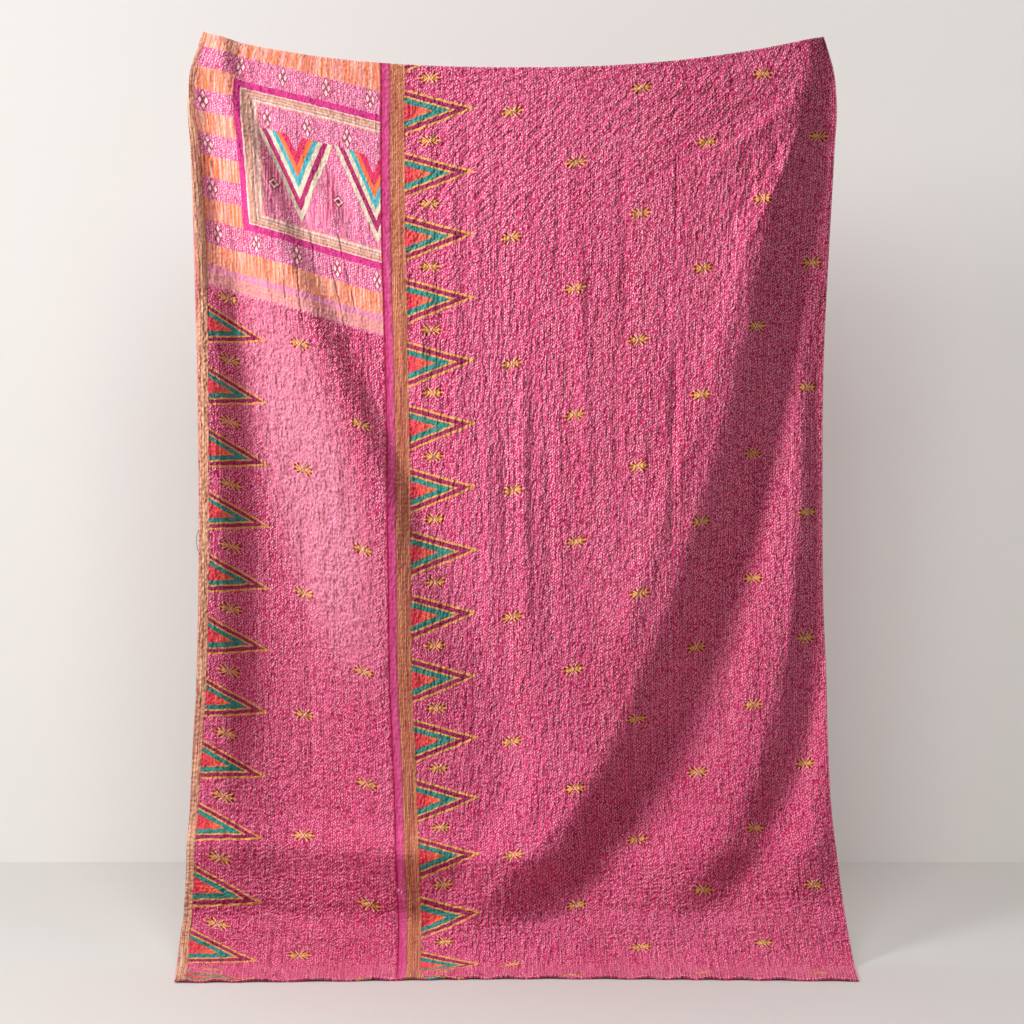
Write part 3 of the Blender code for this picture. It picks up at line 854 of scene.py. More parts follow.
def left_weave(x, y, dyes):
    """The narrow panel's woven colours with its end piece, a painted highlight on its lit fold crest, and
    where its pale ticks show.
    """
    # A painted highlight: the ground is paler, with fewer ticks, on the fold crest that faces the light
    aside = (x - y * HIGHLIGHT_SLANT - HIGHLIGHT_ACROSS) * (1 / HIGHLIGHT_WIDTH)
    along = (y - HIGHLIGHT_RUN) * (1 / HIGHLIGHT_HEIGHT)
    paler = (aside * aside + along * along).rise(0.0, 1.0).no()
    result = paint(ground(x, y, dyes), paler * 0.32, dyes.tick)
    in_field = y > END_PIECE
    pitch = LEFT_TRIANGLES[0]
    result, in_triangle = triangles(x - LEFT_BORDER_WOVEN, y - 0.576, LEFT_TRIANGLES, result, dyes)
    by_border, middle = x < 0.17, x < 0.322
    star_x = choose(by_border, x - 0.076, choose(middle, x - 0.25, x - 0.394))
    star_y = choose(by_border, (y - 0.503).repeat(pitch), (y - 0.561 + middle.no() * pitch).repeat(2 * pitch))
    result, in_star = star(star_x, star_y, result, dyes)
    plain = (in_star | in_triangle) & in_field
    result, smooth_cloth = end_piece(x, y, result, dyes)
    tan, brown = mixed(dyes.tan, dyes.cream, 0.25), dyes.brown
    band = x * (1 / LEFT_BORDER_WOVEN) + (noise(x * 40.0, y * 30.0, detail=0.0) - 0.5) * 0.06
    edge = stripes(band, (
        (0.0, mixed(dyes.field_rose, tan, 0.4)), (0.14, tan), (0.30, mixed(dyes.maroon, brown, 0.5)),
        (0.37, tan), (0.47, mixed(tan, dyes.cream, 0.4)), (0.58, mixed(dyes.maroon, brown, 0.6)), (0.65, tan),
        (0.76, mixed(tan, dyes.field, 0.5)), (0.82, tan), (0.93, brown),
    ))
    frayed = streaks(x, y, mixed(dyes.maroon, brown, 0.6), tan, mixed(tan, dyes.cream, 0.5), 520.0)
    edge = paint(edge, 0.42, frayed)
    in_border = x < LEFT_BORDER_WOVEN
    result = paint(result, in_border, edge)
    plain = plain | smooth_cloth | in_border
    # Fewer ticks inside the painted highlight
    return result, choose(plain, 0.2, choose(in_field, paler * -0.4 + 1.0, 0.5))


def end_piece(x, y, under, dyes):
    """The decorated end of the narrow panel: frame, stripes, chevrons and speckled and streaked bands."""
    in_end = y < END_PIECE
    lilac = paint(dyes.lilac, noise(x * 6.0, y * 6.0, 2.0, detail=0.0).rise(0.4, 0.7) * 0.5, dyes.field)
    speckled = paint(lilac, ticks(x, y, 0.0050, 0.0058, 0.0010, 0.0019, 0.55), dyes.tick)
    result = paint(under, in_end, speckled)
    low, middle = mixed(dyes.orange, dyes.tan, 0.4), mixed(dyes.orange, dyes.peach, 0.4)
    streaked = streaks(x, y, low, middle, dyes.peach, 230.0)
    frame_left = y.most(0.0) * 0.046 + 0.106
    past_frame = x - frame_left
    left_of_frame = past_frame < 0.0
    blocks = ((y + 0.010) * (1 / BAND_BLOCKS)).part() < 0.5
    orange_here = (y < -0.053) | (y.between(-0.053, 0.348) & left_of_frame & blocks) | y.between(0.389, 0.438)
    blush = noise(x * 190.0, y * 5.0, 7.0, detail=1.0).rise(0.52, 0.60)
    streaked = paint(streaked, blush * 0.5, mixed(dyes.lilac, dyes.peach, 0.4))
    result = paint(result, in_end & orange_here, streaked)
    inner = (past_frame > 0.0) & y.between(FRAME_TOP, FRAME_FOOT)
    result = paint(result, inner, dyes.magenta)
    inset = ((past_frame - FRAME_LINE) * 0.74).least((y - (FRAME_TOP + FRAME_LINE)) * 1.15)
    inset = inset.least((y - (FRAME_FOOT - 0.016)) * -1.05)
    grey = mixed(dyes.brown, (0.48, 0.40, 0.34), 0.75)
    pale, tan = mixed(dyes.cream, dyes.tick, 0.5), mixed(dyes.tan, dyes.peach, 0.45)
    rose = mixed(dyes.lilac, dyes.cream, 0.55)
    lines = stripes(inset * (1 / 0.032), (
        (0.0, pale), (0.07, tan), (0.13, grey), (0.20, tan), (0.27, rose), (0.33, tan), (0.41, grey),
        (0.47, pale), (0.53, tan), (0.60, grey), (0.66, rose), (0.73, pale), (0.80, rose),
        (0.87, tan), (0.94, pale),
    ))
    result = paint(result, inset > 0.0, lines)
    inmost = inset > FRAME_BAND
    result = paint(result, inmost, speckled)
    smoother = noise(x * 26.0, y * 13.0, 8.0, detail=1.0).rise(0.44, 0.52) & y.between(0.15, 0.30) & inmost
    middle, high = mixed(dyes.lilac, dyes.tick, 0.25), mixed(dyes.field_rose, dyes.tick, 0.45)
    result = paint(result, smoother, streaks(x, y, dyes.field, middle, high))
    deep = mixed(dyes.magenta, dyes.maroon, 0.7)
    grey_cream = mixed(dyes.cream, (0.60, 0.56, 0.45), 0.45)
    lean = (y - CHEVRON_RUN) * -0.058
    aside = abs((x + lean - CHEVRON_TIP).repeat(CHEVRON_PITCH))
    height = (y - CHEVRON_RUN) * -1.0 - aside * CHEVRON_SLOPE
    in_chevron = inmost & (y > 0.093) & height.between(0.0, 0.152) & (x > 0.157)
    chevron = stripes(height, (
        (0.0, grey_cream), (0.020, deep), (0.047, grey_cream), (0.071, dyes.aqua),
        (0.096, dyes.orange), (0.121, mixed(dyes.red, dyes.magenta, 0.3)),
    ))
    result = paint(result, in_chevron, chevron)
    diamond = abs((x - 0.196).repeat(0.154)) + abs(y - 0.213)
    in_diamond = inmost & (diamond < 0.0150)
    result = paint(result, in_diamond, dyes.maroon)
    result = paint(result, in_diamond & diamond.between(0.0060, 0.0112), mixed(dyes.cream, dyes.tick, 0.3))
    above, below = y < FRAME_TOP, y > FRAME_FOOT
    beside_x = choose(left_of_frame, x - y * 0.02 - 0.043, (x - 0.186).repeat(0.094))
    beside_y = choose(left_of_frame, (y - 0.0639).repeat(BAND_BLOCKS), y - 0.068)
    motif_x = choose(above, (x - 0.118).repeat(0.1035), choose(below, (x - 0.152).repeat(0.096), beside_x))
    motif_y = choose(above, y + 0.031, choose(below, y - 0.362, beside_y))
    pale_part, outline = lozenges(motif_x, motif_y)
    may_show = (y < 0.11) | (above | below | left_of_frame)
    may_show = in_end & orange_here.no() & (y < 0.389) & may_show
    result = paint(result, may_show & outline, dyes.maroon)
    result = paint(result, may_show & pale_part, mixed(dyes.cream, dyes.tick, 0.55))
    solid = y.between(0.438, 0.482)
    result = paint(result, solid, mixed(dyes.selvedge, dyes.tick, 0.35))
    pins = y.between(0.455, 0.482) & (((y - 0.455) * (1 / 0.0075)).part() < 0.42)
    result = paint(result, pins, mixed(tan, dyes.gold, 0.4))
    frame_line = inner & (inset < 0.0)
    quiet = orange_here | frame_line | inset.between(0.0, FRAME_BAND) | in_chevron | solid | smoother
    quiet = quiet | in_diamond | may_show & (pale_part | outline)
    return result, in_end & quiet


def ticks(x, y, pitch_x, pitch_y, half_width, half_length, lean):
    """Short slanting ticks, at most one to a cell, in loose slanting rows: woven flecks and stitches, and on
    the fronts also painted highlights and painted shade.
    """
    column = (x * (1 / pitch_x)).whole()
    moved = y * (1 / pitch_y) + column * 0.5 + chance(column, 0.0, 1.0) * 0.35
    row = moved.whole()
    off_x = (x * (1 / pitch_x)).part() - 0.5
    off_y = moved.part() - 0.5
    luck = chance(column, row, 2.0)
    along = off_y * pitch_y - (chance(column, row, 4.0) - 0.5) * (pitch_y - 2 * half_length)
    across = off_x * pitch_x + along * (luck - 0.2) * lean
    across = across - (chance(column, row, 3.0) - 0.5) * (pitch_x - 2 * half_width)
    return (abs(across) < half_width) & (abs(along) < half_length) & (luck > 0.12)


def ripples(x, y, corner_x):
    """Short puckers that lead to the top corner near it, and run down the cloth farther off."""
    side = 1.0 if corner_x else -1.0
    aside, below = abs(x - corner_x), y + 0.085
    away = (aside * aside + below * below).math("SQRT")
    turn = below.math("ARCTAN2", aside * (aside * -0.25 + 0.5)) * (180 / math.pi)
    result = None
    for degrees, start, end in ((18, 0, 1), (48, 26, 40), (82, 58, 74)):
        sine, cosine = math.sin(math.radians(degrees)), math.cos(math.radians(degrees))
        over = x * (side * sine * 92.0) + y * (cosine * 92.0)
        along = x * (side * cosine * 24.0) - y * (sine * 24.0)
        own = noise(over, along, degrees, detail=1.0, roughness=0.6)
        result = choose(turn.rise(start, end), own, result) if result else own
    return (result - 0.5) * (away.rise(0.20, 0.70).no() + 1.0) + 0.5


def creases(x, y, seed):
    """Thin valleys where soft noise crosses its middle, sharp in some places and faint in others."""
    line = abs(noise(x, y, seed, detail=1.0) - 0.5).rise(0.0, 0.14).no()
    return line & noise(x * 0.21, y * 0.5, seed + 1.0, detail=0.0).rise(0.40, 0.62)


def long_creases(x, y, broad, lines):
    """Single long valleys, each from a place across and run down to another."""
    x = x + (broad - 0.5) * 0.006
    uneven = noise(x * 30.0, y * 26.0, 4.0, detail=0.0).rise(0.36, 0.56) * 0.6 + 0.4
    result = None
    for top, top_run, foot, foot_run in lines:
        slant = (foot - top) / (foot_run - top_run)
        off = abs(x - y * slant - (top - top_run * slant))
        ends = abs(y - (top_run + foot_run) / 2) * (2 / (foot_run - top_run))
        line = off.rise(0.0, 0.0044).no() & ends.rise(0.55, 1.0).no()
        result = result | line if result else line
    return result & uneven


def add_shader(tree, base, inputs):
    """Ends a material in one shader with a colour and other inputs, and returns that shader."""
    shader = tree.nodes.new("ShaderNodeBsdfPrincipled")
    output = tree.nodes.new("ShaderNodeOutputMaterial")
    tree.links.new(shader.outputs[0], output.inputs[0])
    put(shader.inputs["Base Color"], base)
    for name, value in inputs.items():
        shader.inputs[name].default_value = value
    return shader


MEAN_HEIGHT = 2.7  # of the relief below, in pucker depths


def cloth_surface(material, tree, base, x, y, dyes, cloth, corner_x, lines=(), calm=None):
    """Joins a colour to a soft rough cotton surface with puckers, ripples and creases, fewer where calm, and
    darkens the colour with painted shade where the relief is low and along the long creases.
    """
    row = (x * (1 / cloth.row_pitch)).whole()
    pucker = noise(x * 170.0, y * 105.0, 4.0, detail=0.0)
    broad = noise(x * 55.0, y * 60.0, 6.0, detail=0.0)
    foot = y.rise(1.72, 1.86) & y.rise(1.97, 2.04).no()
    phase = choose(foot, broad * 12.0, chance(row, 0.0) * 6.28)
    pulled = (y * (2 * math.pi / STITCH_PITCH) + phase).wave() * (foot * 0.22 + 0.16)
    pleated = abs(x - 0.70).rise(0.05, 0.25).no() * 0.7 + 1.0
    height = pucker * 1.8 + broad * 1.6 + ripples(x, y, corner_x) * pleated * 2.4 + pulled
    height = height - creases(x * 62.0, y * 4.5, 8.0) * pleated * 0.3
    if calm:
        height = (height - MEAN_HEIGHT) * (calm * -0.6 + 1.0) + MEAN_HEIGHT
    # Painted shade: the colour is dimmed where the relief is low, in the puckers and ripples
    base = paint(base, height.rise(1.8, 3.0).no() * 0.5, dyes.painted_shade, "MULTIPLY")
    if lines:
        crease = long_creases(x, y, broad, lines)
        height = height - crease
        # Painted shade along the long creases
        base = paint(base, crease.rise(0.45, 1.0) * 0.35, dyes.painted_shade, "MULTIPLY")
    shader = add_shader(tree, base, {
        "Roughness": 0.86, "Specular IOR Level": 0.15, "Sheen Weight": 0.06, "Sheen Roughness": 0.5,
    })
    bump = tree.nodes.new("ShaderNodeBump")
    bump.inputs["Strength"].default_value = 1.0
    bump.inputs["Distance"].default_value = cloth.pucker_depth
    tree.links.new(height.socket, bump.inputs["Height"])
    tree.links.new(bump.outputs[0], shader.inputs["Normal"])
    return material


def uv_amounts(tree, name):
    """The two numbers of a UV map."""
    uv = tree.nodes.new("ShaderNodeUVMap")
    uv.uv_map = name
    split = tree.nodes.new("ShaderNodeSeparateXYZ")
    tree.links.new(uv.outputs[0], split.inputs[0])
    return Amount(tree, split.outputs[0]), Amount(tree, split.outputs[1])


def new_material(name):
    """An empty material and its node tree."""
    material = bpy.data.materials.new(name)
    material.use_nodes = True
    material.node_tree.nodes.clear()
    return material, material.node_tree


def front_cloth(name, weave, dyes, cloth, corner_x, lines):
    """A panel's woven front, with pale ticks that are partly painted highlights and dark ticks that are
    painted shade.
    """
    material, tree = new_material(name)
    x, y = uv_amounts(tree, "weave")
    across, down = uv_amounts(tree, "cloth")
    wobble = (noise(x * 60.0, y * 60.0, 9.0, detail=0.0) - 0.5) * 0.003
    base, speckle = weave(x + wobble, y + wobble, dyes)
    # Pale ticks: partly the sari's woven flecks, partly painted highlights on the puffed cloth between
    # stitches
    pale = ticks(across, down, 0.0050, 0.0064, 0.0010, 0.0020, 1.1)
    # Dark ticks: painted shade at the small puckers beside the stitches
    deep = ticks(across + 0.002, down + 0.003, 0.0047, 0.0060, 0.0009, 0.0018, 1.1)
    # Fewer pale ticks lower down, so the cloth is darker towards the bottom
    fewer_pale_low = down.rise(1.0, 1.9) * -0.3 + 1.0
    base = paint(base, deep & speckle, dyes.shade)
    bright = chance((across * (1 / cloth.row_pitch) + 0.5).whole(), 5.0) * 0.6
    base = paint(base, pale & speckle & fewer_pale_low, paint(mixed(dyes.field, dyes.tick, 0.48), bright, dyes.tick))
    calm = x.between(0.44, BORDER_END) if corner_x else y < END_PIECE
    return cloth_surface(material, tree, base, across, down, dyes, cloth, corner_x, lines, calm)


def back_cloth(dyes, cloth):
    """The plain back, with the same stitches seen from behind."""
    material, tree = new_material("back_cotton")
    across, down = uv_amounts(tree, "cloth")
    paler = noise(across * 4.0, down * 3.0, 1.0, detail=1.0).rise(0.35, 0.7)
    base = paint(dyes.back, paler, mixed(dyes.back, dyes.peach, 0.14))
    base = paint(base, ticks(across, down, cloth.row_pitch, 0.0106, 0.0009, 0.0026, 0.2), dyes.tick)
    return cloth_surface(material, tree, base, across, down, dyes, cloth, CLOTH_WIDTH)


def thread_material(name, weave, dyes):
    """Soft cotton thread that takes on some of the colour of the cloth it is sewn through."""
    material, tree = new_material(name)
    place = tree.nodes.new("ShaderNodeAttribute")
    place.attribute_name = "weave"
    split = tree.nodes.new("ShaderNodeSeparateXYZ")
    tree.links.new(place.outputs["Vector"], split.inputs[0])
    x, y = Amount(tree, split.outputs[0]), Amount(tree, split.outputs[1])
    base, speckle = weave(x, y, dyes)
    bright_row = ((Amount(tree, split.outputs[2]) + 0.5) * (1 / 3)).part() < 0.33
    worn = noise(x * 220.0, y * 220.0, 2.0).rise(0.3, 0.7) * 0.2 + 0.3 + bright_row * 0.5
    base = paint(base, speckle * worn, dyes.tick)
    add_shader(tree, base, {"Roughness": 0.7, "Specular IOR Level": 0.3, "Sheen Weight": 0.2})
    return material


def plain_thread(name, value):
    """Cotton thread of one colour."""
    material, tree = new_material(name)
    add_shader(tree, value, {"Roughness": 0.75, "Sheen Weight": 0.2})
    return material


# ---- Stitches ----


def stitch_tree():
    """Geometry Nodes that set stitches along every guide line, and the names of its inputs."""
    tree = bpy.data.node_groups.new("running_stitches", "GeometryNodeTree")
    sockets = {}
    for name, kind in {
        "Guides": "Geometry", "Pitch": "Float", "Length": "Float", "Width": "Float", "Tilt": "Float",
        "Turn": "Float", "Seed": "Int", "Thread": "Material",
    }.items():
        socket = tree.interface.new_socket(name, in_out="INPUT", socket_type=f"NodeSocket{kind}")
        sockets[name] = socket.identifier
    tree.interface.new_socket("Stitches", in_out="OUTPUT", socket_type="NodeSocketGeometry")

    def add(kind, inputs, **settings):
        node = tree.nodes.new(kind)
        for key, value in settings.items():
            setattr(node, key, value)
        for place, value in inputs.items():
            if isinstance(value, bpy.types.NodeSocket):
                tree.links.new(value, node.inputs[place])
            else:
                node.inputs[place].default_value = value
        return node.outputs

    given = add("NodeGroupInput", {})
    seed, turned = given["Seed"], {0: given["Turn"], 1: given["Tilt"]}
    guides = add("GeometryNodeMeshToCurve", {"Mesh": given["Guides"]})
    even = add("GeometryNodeResampleCurve", {"Curve": guides[0], "Length": given["Pitch"]}, mode="LENGTH")
    slide = add("FunctionNodeRandomValue", {2: -SLIDE, 3: SLIDE, "Seed": seed}, data_type="FLOAT")
    tangent = add("GeometryNodeInputTangent", {})
    shift = add("ShaderNodeVectorMath", {"Vector": tangent[0], "Scale": slide[1]}, operation="SCALE")
    moved = add("GeometryNodeSetPosition", {"Geometry": even[0], "Offset": shift[0]})
    grain = add("GeometryNodeMeshUVSphere", {"Segments": 3, "Rings": 3, "Radius": 0.5})
    size = add("ShaderNodeCombineXYZ", {"X": given["Width"], "Y": given["Width"], "Z": given["Length"]})
    shaped = add("GeometryNodeTransform", {"Geometry": grain["Mesh"], "Scale": size[0]})
    along = add("FunctionNodeAlignRotationToVector", {"Vector": tangent[0]}, axis="Z")
    smallest, largest = (0.8, 0.8, 0.75), (1.25, 1.0, 1.2)
    uneven = add("FunctionNodeRandomValue", {0: smallest, 1: largest, "Seed": seed}, data_type="FLOAT_VECTOR")
    placed = add("GeometryNodeInstanceOnPoints", {
        "Points": moved[0], "Instance": shaped[0], "Rotation": along[0], "Scale": uneven[0],
    })
    low, high = (add("ShaderNodeMath", turned, operation=kind)[0] for kind in ("SUBTRACT", "ADD"))
    lean = add("FunctionNodeRandomValue", {2: low, 3: high, "Seed": seed}, data_type="FLOAT")
    about = add("ShaderNodeCombineXYZ", {"Y": lean[1]})
    leaning = add("GeometryNodeRotateInstances", {"Instances": placed[0], "Rotation": about[0]})
    real = add("GeometryNodeRealizeInstances", {"Geometry": leaning[0]})
    threaded = add("GeometryNodeSetMaterial", {"Geometry": real[0], "Material": given["Thread"]})
    add("NodeGroupOutput", {0: threaded[0]})
    return tree, sockets


def sew(name, lines, weave_places, group, settings):
    """Stitches along guide lines, as one plain mesh. Each line is a run of points."""
    tree, sockets = group
    guide = bpy.data.meshes.new(f"{name}_guide")
    points, edges, places = [], [], []
    for line, woven in zip(lines, weave_places):
        start = len(points)
        points += line.tolist()
        places += woven.tolist()
        edges += [(start + i, start + i + 1) for i in range(len(line) - 1)]
    guide.from_pydata(points, edges, [])
    attribute = guide.attributes.new("weave", "FLOAT_VECTOR", "POINT")
    attribute.data.foreach_set("vector", np.array(places, np.float32).ravel())
    holder = bpy.data.objects.new(f"{name}_guide", guide)
    bpy.context.scene.collection.objects.link(holder)
    modifier = holder.modifiers.new("stitches", "NODES")
    modifier.node_group = tree
    for key, value in settings.items():
        modifier[sockets[key]] = value
    graph = bpy.context.evaluated_depsgraph_get()
    graph.update()
    mesh = bpy.data.meshes.new_from_object(holder.evaluated_get(graph))
    mesh.name = name
    mesh.shade_smooth()
    bpy.data.objects.remove(holder)
    stitches = bpy.data.objects.new(name, mesh)
    bpy.context.scene.collection.objects.link(stitches)
    return stitches


def row_guides(rows, shares, weave, seed):
    """Guide lines along the quilting rows, each from hem to top, starting at a place of its own."""
    points, normals, across, run = sheet_grid(rows, shares)
    points = points + normals * THREAD_LIFT
    woven = np.stack([*weave(across, run), 0 * run + np.arange(rows.shape[1])], -1)
    luck = np.random.default_rng(seed)
    lines, weaves = [], []
    for j in range(rows.shape[1]):
        line, own = points[::-1, j].copy(), woven[::-1, j].copy()
        share = luck.uniform(0.05, 0.95)
        line[0] = line[0] * (1 - share) + line[1] * share
        own[0] = own[0] * (1 - share) + own[1] * share
        keep = len(line) - 1 - int(luck.integers(0, 2))
        lines.append(line[:keep])
        weaves.append(own[:keep])
    return lines, weaves


def edge_guides(outer, inner, shares, weave):
    """Guide lines for the whipped edges of a panel: down its outer side, along its hem and along its top."""
    inset = 0.0015 if outer < inner else -0.0015
    along = np.linspace(outer + inset, inner, 90)
    lines, weaves = [], []
    for places, rows in (([outer + inset], shares[::-1]), (along, [1.0 - 0.0006]), (along, [0.0009])):
        points, normals, across, run = sheet_grid(places, rows)
        lines.append((points + normals * EDGE_THREAD_LIFT).reshape(-1, 3))
        weaves.append(np.stack([*weave(across, run), 0 * run], -1).reshape(-1, 3))
    return lines, weaves


# ---- The stage ----


def add_plane(name, corner, across, along, colour_value):
    """A flat rectangle of painted board, clear from behind so that the quilt's back can be looked at."""
    corner, across, along = (np.array(value, float) for value in (corner, across, along))
    mesh = bpy.data.meshes.new(name)
    points = [corner, corner + across, corner + across + along, corner + along]
    mesh.from_pydata([point.tolist() for point in points], [], [(0, 1, 2, 3)])
    material, tree = new_material(f"{name}_paint")
    shader = add_shader(tree, colour_value, {"Roughness": 0.9})
    clear = tree.nodes.new("ShaderNodeBsdfTransparent")
    side = tree.nodes.new("ShaderNodeNewGeometry")
    either = tree.nodes.new("ShaderNodeMixShader")
    end = shader.outputs[0].links[0].to_socket
    tree.links.new(side.outputs["Backfacing"], either.inputs[0])
    tree.links.new(shader.outputs[0], either.inputs[1])
    tree.links.new(clear.outputs[0], either.inputs[2])
    tree.links.new(either.outputs[0], end)
    mesh.materials.append(material)
    board = bpy.data.objects.new(name, mesh)
    bpy.context.scene.collection.objects.link(board)


def add_light(name, place, target, width, height, watts, lit, spread=180):
    """A soft rectangular light that looks at a point and lights the objects of one collection."""
    lamp = bpy.data.lights.new(name, "AREA")
    lamp.spread = math.radians(spread)
    lamp.shape, lamp.size, lamp.size_y, lamp.energy = "RECTANGLE", width, height, watts
    light = bpy.data.objects.new(name, lamp)
    light.location = place
    aim = np.array(target) - np.array(place)
    flat = math.hypot(aim[0], aim[1])
    tip, turn = math.pi / 2 + math.atan2(aim[2], flat), math.atan2(aim[1], aim[0]) - math.pi / 2
    light.rotation_euler = (tip, 0.0, turn)
    bpy.context.scene.collection.objects.link(light)
    light.light_linking.receiver_collection = lit


# ---- Operators ----


class KANTHA_OT_left_panel(Operator):
    """Make the narrow panel, with its decorated end piece"""

    bl_idname = "kantha.left_panel"
    bl_label = "Left Panel"

    def execute(self, context):
        cloth, dyes = context.scene.kantha_cloth, context.scene.kantha_dyes
        shares = even_shares(cloth.rows_down)
        places, lifts = ribbed_face(0.0, LAP_AT, shares, cloth, LEFT_ROWS_SEED)
        back = smooth_back(places[0], 0, cloth.back_step)
        end = SEAM_AT - CLEARANCE
        places = np.insert(places, places.shape[1], end, 1)
        lifts = np.insert(lifts, lifts.shape[1], 0.0, 1)
        back.append(((end, -THICKNESS), places.shape[1] - 1))
        front = front_cloth("left_sari_cotton", left_weave, dyes, cloth, 0.0, LEFT_LINES)
        materials = front, back_cloth(dyes, cloth)
        sheet = closed_sheet(
            "left_sheet", places, lifts, back, shares, cloth.back_step, woven_left, materials
        )
        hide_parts("left_panel")
        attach(sheet, "root")
        return {"FINISHED"}


class KANTHA_OT_right_panel(Operator):
    """Make the wide panel, whose selvedge is turned over the narrow one"""

    bl_idname = "kantha.right_panel"
    bl_label = "Right Panel"

    def execute(self, context):
        cloth, dyes = context.scene.kantha_cloth, context.scene.kantha_dyes
        shares = even_shares(cloth.rows_down)
        flap = np.linspace(LAP_AT, SEAM_AT, 5)
        start = SEAM_AT + cloth.row_pitch / 2
        places, lifts = ribbed_face(start, CLOTH_WIDTH, shares, cloth, RIGHT_ROWS_SEED)
        last = len(flap) - 1
        back = [((LAP_AT, CLEARANCE), 0), ((SEAM_AT, CLEARANCE), last), ((SEAM_AT, -THICKNESS), last)]
        places = np.concatenate([np.tile(flap, (len(shares), 1)), places], 1)
        lifts = np.concatenate([np.full((len(shares), len(flap)), CLEARANCE + LAP_THICKNESS), lifts], 1)
        back += smooth_back(places[0], last + 1, cloth.back_step)
        front = front_cloth("right_sari_cotton", right_weave, dyes, cloth, CLOTH_WIDTH, RIGHT_LINES)
        materials = front, bpy.data.materials["back_cotton"]
        sheet = closed_sheet(
            "right_sheet", places, lifts, back, shares, cloth.back_step, woven_right, materials
        )
        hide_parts("right_panel")
        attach(sheet, "root")
        return {"FINISHED"}


class KANTHA_OT_running_stitches(Operator):
    """Sew the rows of running stitches and the whipped stitches along the edges"""

    bl_idname = "kantha.running_stitches"
    bl_label = "Running Stitches"

    def execute(self, context):
        cloth, dyes = context.scene.kantha_cloth, context.scene.kantha_dyes
        stitch = context.scene.kantha_stitches
        nodes = stitch_tree()
        shares = even_shares(cloth.rows_down)
        common = {"Width": stitch.width, "Tilt": stitch.tilt, "Seed": stitch.seed}
        left_rows = sewn_rows(0.0, LAP_AT, shares, cloth, LEFT_ROWS_SEED)[:, 1:]
        start = SEAM_AT + cloth.row_pitch / 2
        right_rows = sewn_rows(start, CLOTH_WIDTH, shares, cloth, RIGHT_ROWS_SEED)[:, :-1]
        left_thread = thread_material("left_thread", left_weave, dyes)
        right_thread = thread_material("right_thread", right_weave, dyes)
        half = right_rows.shape[1] // 2
        groups = (
            ("left_stitches", left_rows, woven_left, left_thread, "left_cloth", 11),
            ("right_stitches_inner", right_rows[:, :half], woven_right, right_thread, "right_cloth", 12),
            ("right_stitches_outer", right_rows[:, half:], woven_right, right_thread, "right_cloth", 13),
        )
        for name, rows, weave, thread, slot, seed in groups:
            lines, places = row_guides(rows, shares, weave, seed)
            stitches = sew(name, lines, places, nodes, {
                **common, "Pitch": stitch.pitch, "Length": stitch.stitch_length, "Turn": 0.0,
                "Thread": thread,
            })
            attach(stitches, "root")
        whipped = plain_thread("edge_thread", mixed(dyes.tick, dyes.peach, 0.4))
        edges = (
            ("left_edge_stitches", 0.0, SEAM_AT - 0.02, woven_left, "left_cloth"),
            ("right_edge_stitches", CLOTH_WIDTH, SEAM_AT, woven_right, "right_cloth"),
        )
        for name, outer, inner, weave, slot in edges:
            lines, places = edge_guides(outer, inner, shares, weave)
            stitches = sew(name, lines, places, nodes, {
                **common, "Pitch": stitch.edge_pitch, "Length": stitch.edge_length, "Turn": stitch.edge_turn,
                "Thread": whipped,
            })
            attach(stitches, "root")
        return {"FINISHED"}


class KANTHA_OT_loose_thread(Operator):
    """Make the small loop of green thread that stands out from the left edge"""

    bl_idname = "kantha.loose_thread"
    bl_label = "Loose Thread"

    def execute(self, context):
        runs = np.array([1.082, 1.088, 1.101, 1.116, 1.129, 1.138])
        aside = np.array([0.0025, -0.0012, -0.0046, -0.0036, -0.0012, 0.0025])
        points = surface(0.0 * runs, runs / HEM_RUN) + np.stack([aside, 0.0 * runs - 0.0005, 0.0 * runs], -1)
        curve = bpy.data.curves.new("loose_thread", "CURVE")
        curve.dimensions = "3D"
        curve.bevel_depth, curve.bevel_resolution, curve.resolution_u = 0.0009, 1, 6
        curve.use_fill_caps = True
        spline = curve.splines.new("BEZIER")
        spline.bezier_points.add(len(points) - 1)
        for point, place in zip(spline.bezier_points, points.tolist()):
            point.co = place
            point.handle_left_type = point.handle_right_type = "AUTO"
        holder = bpy.data.objects.new("loose_thread_line", curve)
        context.scene.collection.objects.link(holder)
        mesh = bpy.data.meshes.new_from_object(holder.evaluated_get(context.evaluated_depsgraph_get()))
        bpy.data.objects.remove(holder)
        mesh.shade_smooth()
        mesh.materials.append(plain_thread("green_thread", context.scene.kantha_dyes.loose))
        thread = bpy.data.objects.new("loose_thread", mesh)
        context.scene.collection.objects.link(thread)
        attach(thread, "root")
        return {"FINISHED"}


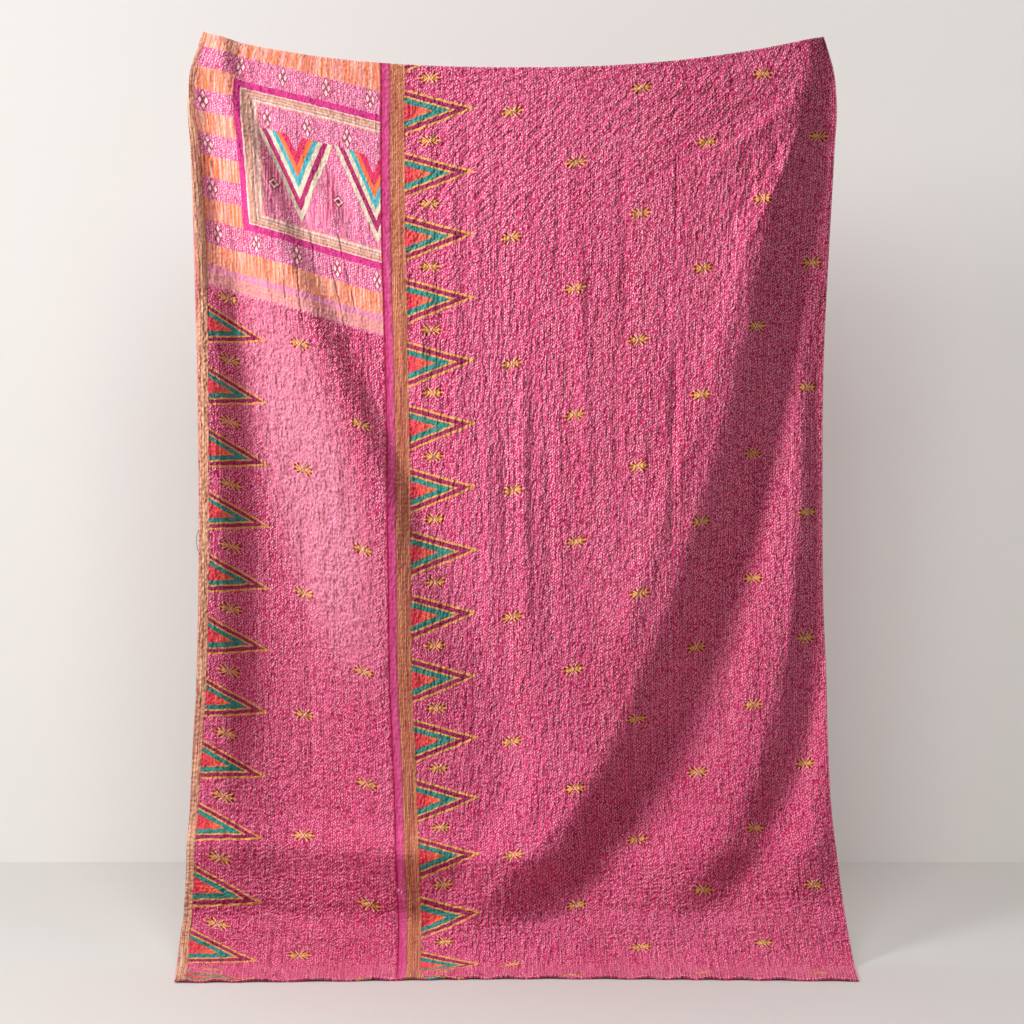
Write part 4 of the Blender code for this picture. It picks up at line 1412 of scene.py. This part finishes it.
class KANTHA_OT_stage(Operator):
    """Add the floor, the wall, the lights and the camera"""

    bl_idname = "kantha.stage"
    bl_label = "Stage"

    def execute(self, context):
        stage = context.scene.kantha_stage
        low = CAD_BOX[0][2] - 0.0005
        add_plane("floor", (-5, -7, low), (10, 0, 0), (0, 7 + stage.wall_distance, 0), stage.floor)
        add_plane("wall", (-5, stage.wall_distance, low), (10, 0, 0), (0, 0, 5), stage.wall)
        quilt, room = bpy.data.collections.new("quilt"), bpy.data.collections.new("room")
        for piece in context.scene.objects:
            if piece.type == "MESH":
                (room if piece.name in ("floor", "wall") else quilt).objects.link(piece)
        add_light("key", (-4.6, -2.45, 0.8), (0.45, 0.0, -0.5), 1.6, 1.6, stage.key_power, quilt, 48)
        add_light("fill", (2.8, -4.2, 0.2), (0.1, 0.0, -1.1), 2.4, 2.4, stage.fill_power, quilt)
        add_light("top", (-1.8, -0.9, 6.5), (-0.5, -0.35, -2.0), 1.5, 1.5, stage.top_power, quilt, 32)
        add_light("back", (1.4, 0.95, 1.4), (0.0, 0.0, -1.0), 1.0, 0.4, stage.back_power, quilt)
        add_light("room_key", (-3.2, -2.7, 0.55), (0.0, 0.0, -1.0), 1.3, 1.3, stage.room_key_power, room)
        add_light("room_fill", (0.0, -5.6, 2.5), (0.0, 1.0, -1.2), 5.0, 3.0, stage.room_fill_power, room)
        world = bpy.data.worlds.new("room")
        context.scene.world = world
        world.use_nodes = True
        world.node_tree.nodes["Background"].inputs["Color"].default_value = (1.0, 0.99, 0.98, 1.0)
        world.node_tree.nodes["Background"].inputs["Strength"].default_value = stage.room_light
        lens = bpy.data.cameras.new("camera")
        lens.lens, lens.sensor_width = LENS, SENSOR
        camera = bpy.data.objects.new("camera", lens)
        camera.location = CAMERA_PLACE
        camera.rotation_euler = (math.radians(90), 0.0, 0.0)
        context.scene.collection.objects.link(camera)
        context.scene.camera = camera
        context.scene.view_settings.view_transform = "Standard"
        return {"FINISHED"}


class KANTHA_PT_panel(Panel):
    """The quilt's sizes, colours and pieces"""

    bl_label = "Kantha Quilt"
    bl_idname = "KANTHA_PT_panel"
    bl_space_type = "VIEW_3D"
    bl_region_type = "UI"
    bl_category = "Kantha"

    def draw(self, context):
        layout = self.layout
        for group in ("kantha_cloth", "kantha_dyes", "kantha_stitches", "kantha_stage"):
            settings = getattr(context.scene, group)
            box = layout.box()
            for name in settings.bl_rna.properties.keys():
                if name not in ("rna_type", "name"):
                    box.prop(settings, name)
        for operator in OPERATORS:
            layout.operator(operator.bl_idname)


SETTINGS = {
    "kantha_cloth": KanthaCloth, "kantha_dyes": KanthaDyes, "kantha_stitches": KanthaStitches,
    "kantha_stage": KanthaStage,
}
OPERATORS = (KANTHA_OT_left_panel, KANTHA_OT_right_panel, KANTHA_OT_running_stitches,
             KANTHA_OT_loose_thread, KANTHA_OT_stage)


def register():
    for cls in (*SETTINGS.values(), *OPERATORS, KANTHA_PT_panel):
        bpy.utils.register_class(cls)
    for name, cls in SETTINGS.items():
        setattr(bpy.types.Scene, name, PointerProperty(type=cls))


def unregister():
    for name in SETTINGS:
        delattr(bpy.types.Scene, name)
    for cls in reversed((*SETTINGS.values(), *OPERATORS, KANTHA_PT_panel)):
        bpy.utils.unregister_class(cls)


def main():
    register()
    bpy.ops.kantha.left_panel()
    bpy.ops.kantha.right_panel()
    bpy.ops.kantha.running_stitches()
    bpy.ops.kantha.loose_thread()
    bpy.ops.kantha.stage()


if __name__ == "__main__":
    main()
